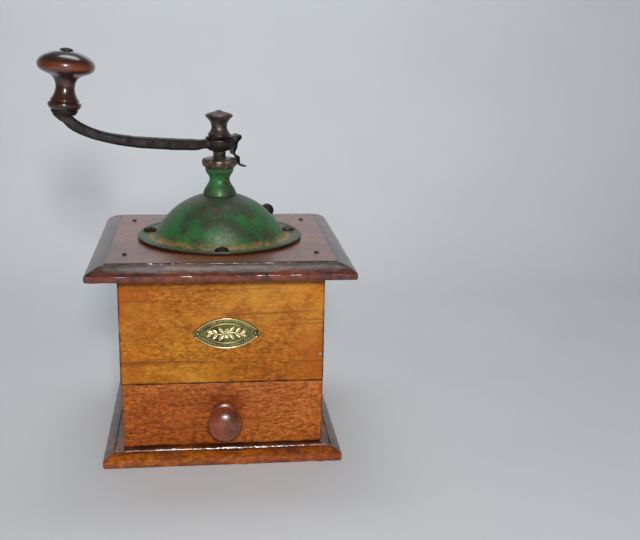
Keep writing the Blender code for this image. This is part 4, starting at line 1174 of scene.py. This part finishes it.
def strip(path, width, thick, place, ease=0.3):
    """A bent strip with rounded edges; path is (s, z) and width(i) its width at each point."""
    rows = []
    for i, (s, z) in enumerate(path):
        before, after = path[max(i - 1, 0)], path[min(i + 1, len(path) - 1)]
        slope = math.atan2(after[1] - before[1], after[0] - before[0])
        w = width(i)
        left = [(-w / 2 + ease, -thick / 2), (-w / 2 + 0.06, -thick / 2 + 0.14), (-w / 2, 0),
                (-w / 2 + 0.06, thick / 2 - 0.14), (-w / 2 + ease, thick / 2), (-w / 6, thick / 2)]
        right = [(-across, up) for across, up in reversed(left)]
        section = [*left, *right, (w / 6, -thick / 2), (-w / 6, -thick / 2)]
        rows.append([(s - up * math.sin(slope), across, z + up * math.cos(slope))
                     for across, up in section])
    return rings(bmesh.new(), rows, place, caps=True)


def make_clip():
    """One spring strip: its plate is clamped under the finial and its leaf hangs past the nut."""
    rest = BOSS_TOP + 0.3 + CLIP_THICK / 2
    start = [(-8.6 + 16.6 * i / 14, rest) for i in range(14)]
    bend = flow([(8.0, rest), (9.2, 194.42), (10.4, 194.72), (11.6, 195.0), (12.65, 195.4),
                 (13.35, 194.9), (13.35, 193.8), (12.5, 192.8), (11.4, 191.8), (10.75, 190.5),
                 (10.5, 189.0), (10.2, 187.5), (9.5, 186.2), (9.0, 184.9), (9.1, 183.6), (10.1, 182.6),
                 (11.4, 182.0), (12.05, 180.9), (12.15, 179.4), (12.15, 178.0), (12.6, 176.7),
                 (13.8, 175.7), (16.8, 175.3)], 5)

    def rounded_end(i):
        return CLIP_WIDTH * (math.sqrt(max(0.05, 1 - ((3 - i) / 3.2) ** 2)) if i < 4 else 1)
    outward = CRANK @ Matrix.Rotation(math.radians(180), 4, "Z")
    bm = strip(start + bend, rounded_end, CLIP_THICK, outward)
    hole = [(0, 200), (STUD_RADIUS, 200), (STUD_RADIUS, 190), (0, 190)]
    made = finished("clip_spring_look", boolean(bm, lathe(hole, 40, place=CRANK)), CLIP_IRON, 40)
    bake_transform(made)
    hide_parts("clip_plate", "clip_leaf")


def make_knob():
    bore = KNOB_BORE
    body = flow([(4.8, 37.0), (7.4, 36.8), (9.6, 36.1), (12.2, 34.9), (14.3, 33.5), (15.9, 31.9),
                 (16.75, 30.2), (16.9, 28.6), (16.3, 26.9), (14.9, 25.5), (12.8, 24.4),
                 (10.4, 23.5), (8.6, 22.6), (7.4, 21.5), (6.5, 20.0), (5.9, 18.2), (5.65, 16.4),
                 (5.8, 14.6), (6.3, 12.6), (7.2, 10.7), (7.9, 9.6)], 4)
    ring = [(8.35, 9.15), (8.55, 8.75), (8.5, 8.35), (8.2, 8.1), (8.15, 7.95)]
    lower = flow([(8.9, 7.75), (9.5, 7.3), (9.85, 6.5), (9.85, 5.6), (9.5, 4.7), (8.8, 3.8)], 3)
    outline = [(bore, 36.7), (3.4, 36.95), *body, *ring, *lower, (8.2, 3.2), (bore, 3.2)]
    bm = lathe(outline, 112, ring=True, place=KNOB)
    piece("crank_knob", bm, KNOB_VARNISH, "knob", sharp=45)
    cup = [(bore, 2.9), (7.5, 2.9), (7.9, 2.7), (7.95, 2.3), (7.6, 1.7), (7.25, 1.1), (6.8, 0.4),
           (6.3, 0.05), (5.6, 0), (bore, 0)]
    bm = lathe(cup, 72, ring=True, place=KNOB)
    metal = iron("ferrule_iron", (66, 58, 54), (40, 34, 32), (78, 54, 40), 0.4, 0.55)
    piece("knob_ferrule", bm, metal, "knob")
    rivet = [(0, 39.2)] + [(4.1 * math.sin(t), 37.35 + 1.85 * math.cos(t))
                           for t in [math.radians(10 * i) for i in range(1, 10)]]
    rivet += [(3.9, 37.3), (RIVET_SHANK, 37.3), (RIVET_SHANK, -1.9), (3.0, -2.9), (3.0, -3.5), (0, -3.5)]
    made = finished("knob_rivet_look", lathe(rivet, 48, place=KNOB),
                    iron("rivet_iron", (84, 76, 72), (40, 35, 34)), 35)
    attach(made, "spindle")
    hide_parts("knob_spindle")


# ---------------------------------------------------------------- what keeps its CAD shape

def dress_inner_nodes():
    """Materials for the burrs, the stirrup and the screws inside, whose shapes are right."""
    cast = iron("cast_iron", (84, 78, 76), (48, 44, 43), (104, 66, 44), 0.35, 0.5)
    burr = iron("burr_steel", (132, 124, 116), (70, 64, 60), (104, 72, 50), 0.35, 0.35)
    screws = steel("screw_steel")
    finishes = {"burr_housing": cast, "bearing_stirrup": cast, "ring_burr": burr, "cone_burr": burr,
                "burr_washer": screws, "burr_nut": screws, "hatch_washer": screws}
    for group, count in (("base_screw", 4), ("housing_screw", 3), ("stirrup_screw", 2)):
        finishes |= {f"{group}_{number}": screws for number in range(1, count + 1)}
    finishes["drawer_bottom"] = plain_wood("plain_drawer_bottom", "X")
    for node, material in finishes.items():
        mesh = frame["nodes"][node].data
        mesh.materials.clear()
        mesh.materials.append(material)


# ---------------------------------------------------------------- surroundings

def plain(name, colour, rough=0.8):
    g = Graph(name)
    shade = g.ramp(g.noise(9, 2), 0.3, 0.7, 0.985, 1.015)
    return g.finish(g.mix(1.0, colour, shade, "MULTIPLY"), rough)


def make_stage():
    """A pale table that sweeps up into a pale wall."""
    profile = [(-1.6, 0.0), (0.30, 0.0)] + [(0.30 + 0.25 * math.sin(t), 0.25 - 0.25 * math.cos(t))
                                          for t in [math.radians(7.5 * i) for i in range(1, 12)]]
    profile += [(0.55, 0.25), (0.55, 0.62)]
    bm = bmesh.new()
    rows = [[bm.verts.new((x, y, z)) for x in (-2.4, 2.4)] for y, z in profile]
    for (a, b), (d, c) in zip(rows, rows[1:]):
        bm.faces.new((a, b, c, d))
    floor = loose(bm, "studio_sweep")
    floor.data.shade_smooth()
    floor.data.materials.append(plain("pale_paper", rgb(224, 228, 233)))


def area_light(name, at, target, size, power, colour=(1, 1, 1)):
    data = bpy.data.lights.new(name, "AREA")
    data.shape, data.size, data.energy, data.color = "DISK", size, power, colour
    lamp = bpy.data.objects.new(name, data)
    lamp.location = at
    lamp.rotation_euler = (Vector(target) - Vector(at)).to_track_quat("-Z", "Y").to_euler()
    bpy.context.scene.collection.objects.link(lamp)


def make_light():
    """A small soft key just above the camera, a lamp that only lights the backdrop, a dim room."""
    area_light("key", (0.02, -1.02, 0.53), (0, 0, 0.12), 0.14, 8.6, (1.0, 0.985, 0.96))
    area_light("backdrop_lamp", (0.0, 0.25, 0.80), (0, 0.58, 0.20), 0.4, 1.6)
    world = bpy.data.worlds.new("studio")
    world.use_nodes = True
    ground = world.node_tree.nodes["Background"].inputs
    ground["Color"].default_value = (0.88, 0.93, 1.0, 1.0)
    ground["Strength"].default_value = 0.12
    bpy.context.scene.world = world


def make_camera():
    yaw, pitch, roll = (math.radians(v) for v in (CAMERA_YAW, CAMERA_PITCH, CAMERA_ROLL))
    forward = Vector((math.sin(yaw) * math.cos(pitch), math.cos(yaw) * math.cos(pitch), -math.sin(pitch)))
    right = Vector((math.cos(yaw), -math.sin(yaw), 0.0))
    up = right.cross(forward)
    tilted = right * math.cos(roll) + up * math.sin(roll)
    upward = up * math.cos(roll) - right * math.sin(roll)
    data = bpy.data.cameras.new("camera")
    data.lens, data.sensor_width, data.clip_start = CAMERA_LENS, 36.0, 0.01
    camera = bpy.data.objects.new("camera", data)
    camera.matrix_world = (Matrix.Translation(CAMERA_AT)
                           @ Matrix((tilted, upward, -forward)).transposed().to_4x4())
    bpy.context.scene.collection.objects.link(camera)
    bpy.context.scene.camera = camera


GREEN = green_enamel("green_enamel",
                     [((-25, -30, 143), 8), ((-20, -26, 149), 8), ((-12, -25, 152), 9),
                      ((-3, -25, 153), 9), ((8, -23, 154), 9), ((-9, -33, 147), 8),
                      ((6, -36, 145), 10), ((0, -34, 147), 8), ((-17, -41, 134), 8),
                      ((22, -37, 140), 11), ((32, -30, 138), 10), ((14, -37, 142), 8),
                      ((17, -22, 151), 8), ((-34, -29, 134), 7), ((0, 0, 160), 16)],
                     [((-34, -26, 141), 17), ((13, -29, 148), 7), ((27, -25, 146), 8),
                      ((38, -18, 142), 12), ((-20, -38, 139), 10)], 0.35)
GREEN_HATCH = green_enamel("green_enamel_hatch", (), (), 0.5, dust_and_highlight=False)
GREEN_NECK = green_enamel("green_enamel_neck", [((9, -4, 165), 10), ((8, -7, 159), 8), ((-8, -5, 160), 5),
                                                ((0, -9, 174), 6)],
                          [((-4, -8, 168), 9)], 0.3, dust_and_highlight=False)
ARM_IRON = iron("arm_iron", (64, 60, 59), (48, 44, 43), (92, 60, 42), 0.35, 0.36)
NUT_IRON = iron("nut_iron", (150, 132, 116), (78, 65, 58), (112, 74, 50), 0.4, 0.32)
FINIAL_IRON = iron("finial_iron", (112, 100, 92), (72, 63, 58), (120, 78, 52), 0.4, 0.34)
CLIP_IRON = iron("clip_iron", (66, 60, 58), (38, 33, 32), (84, 56, 42), 0.2, 0.34)
KNOB_VARNISH = knob_varnish()

bpy.context.scene.view_settings.view_transform = "Standard"
make_camera()
make_stage()
make_light()
make_case()
make_fasteners()
make_badge()
make_drawer()
make_dome()
make_hatch()
make_neck()
make_nut()
make_shaft()
make_arm()
make_finial()
make_clip()
make_knob()
dress_inner_nodes()
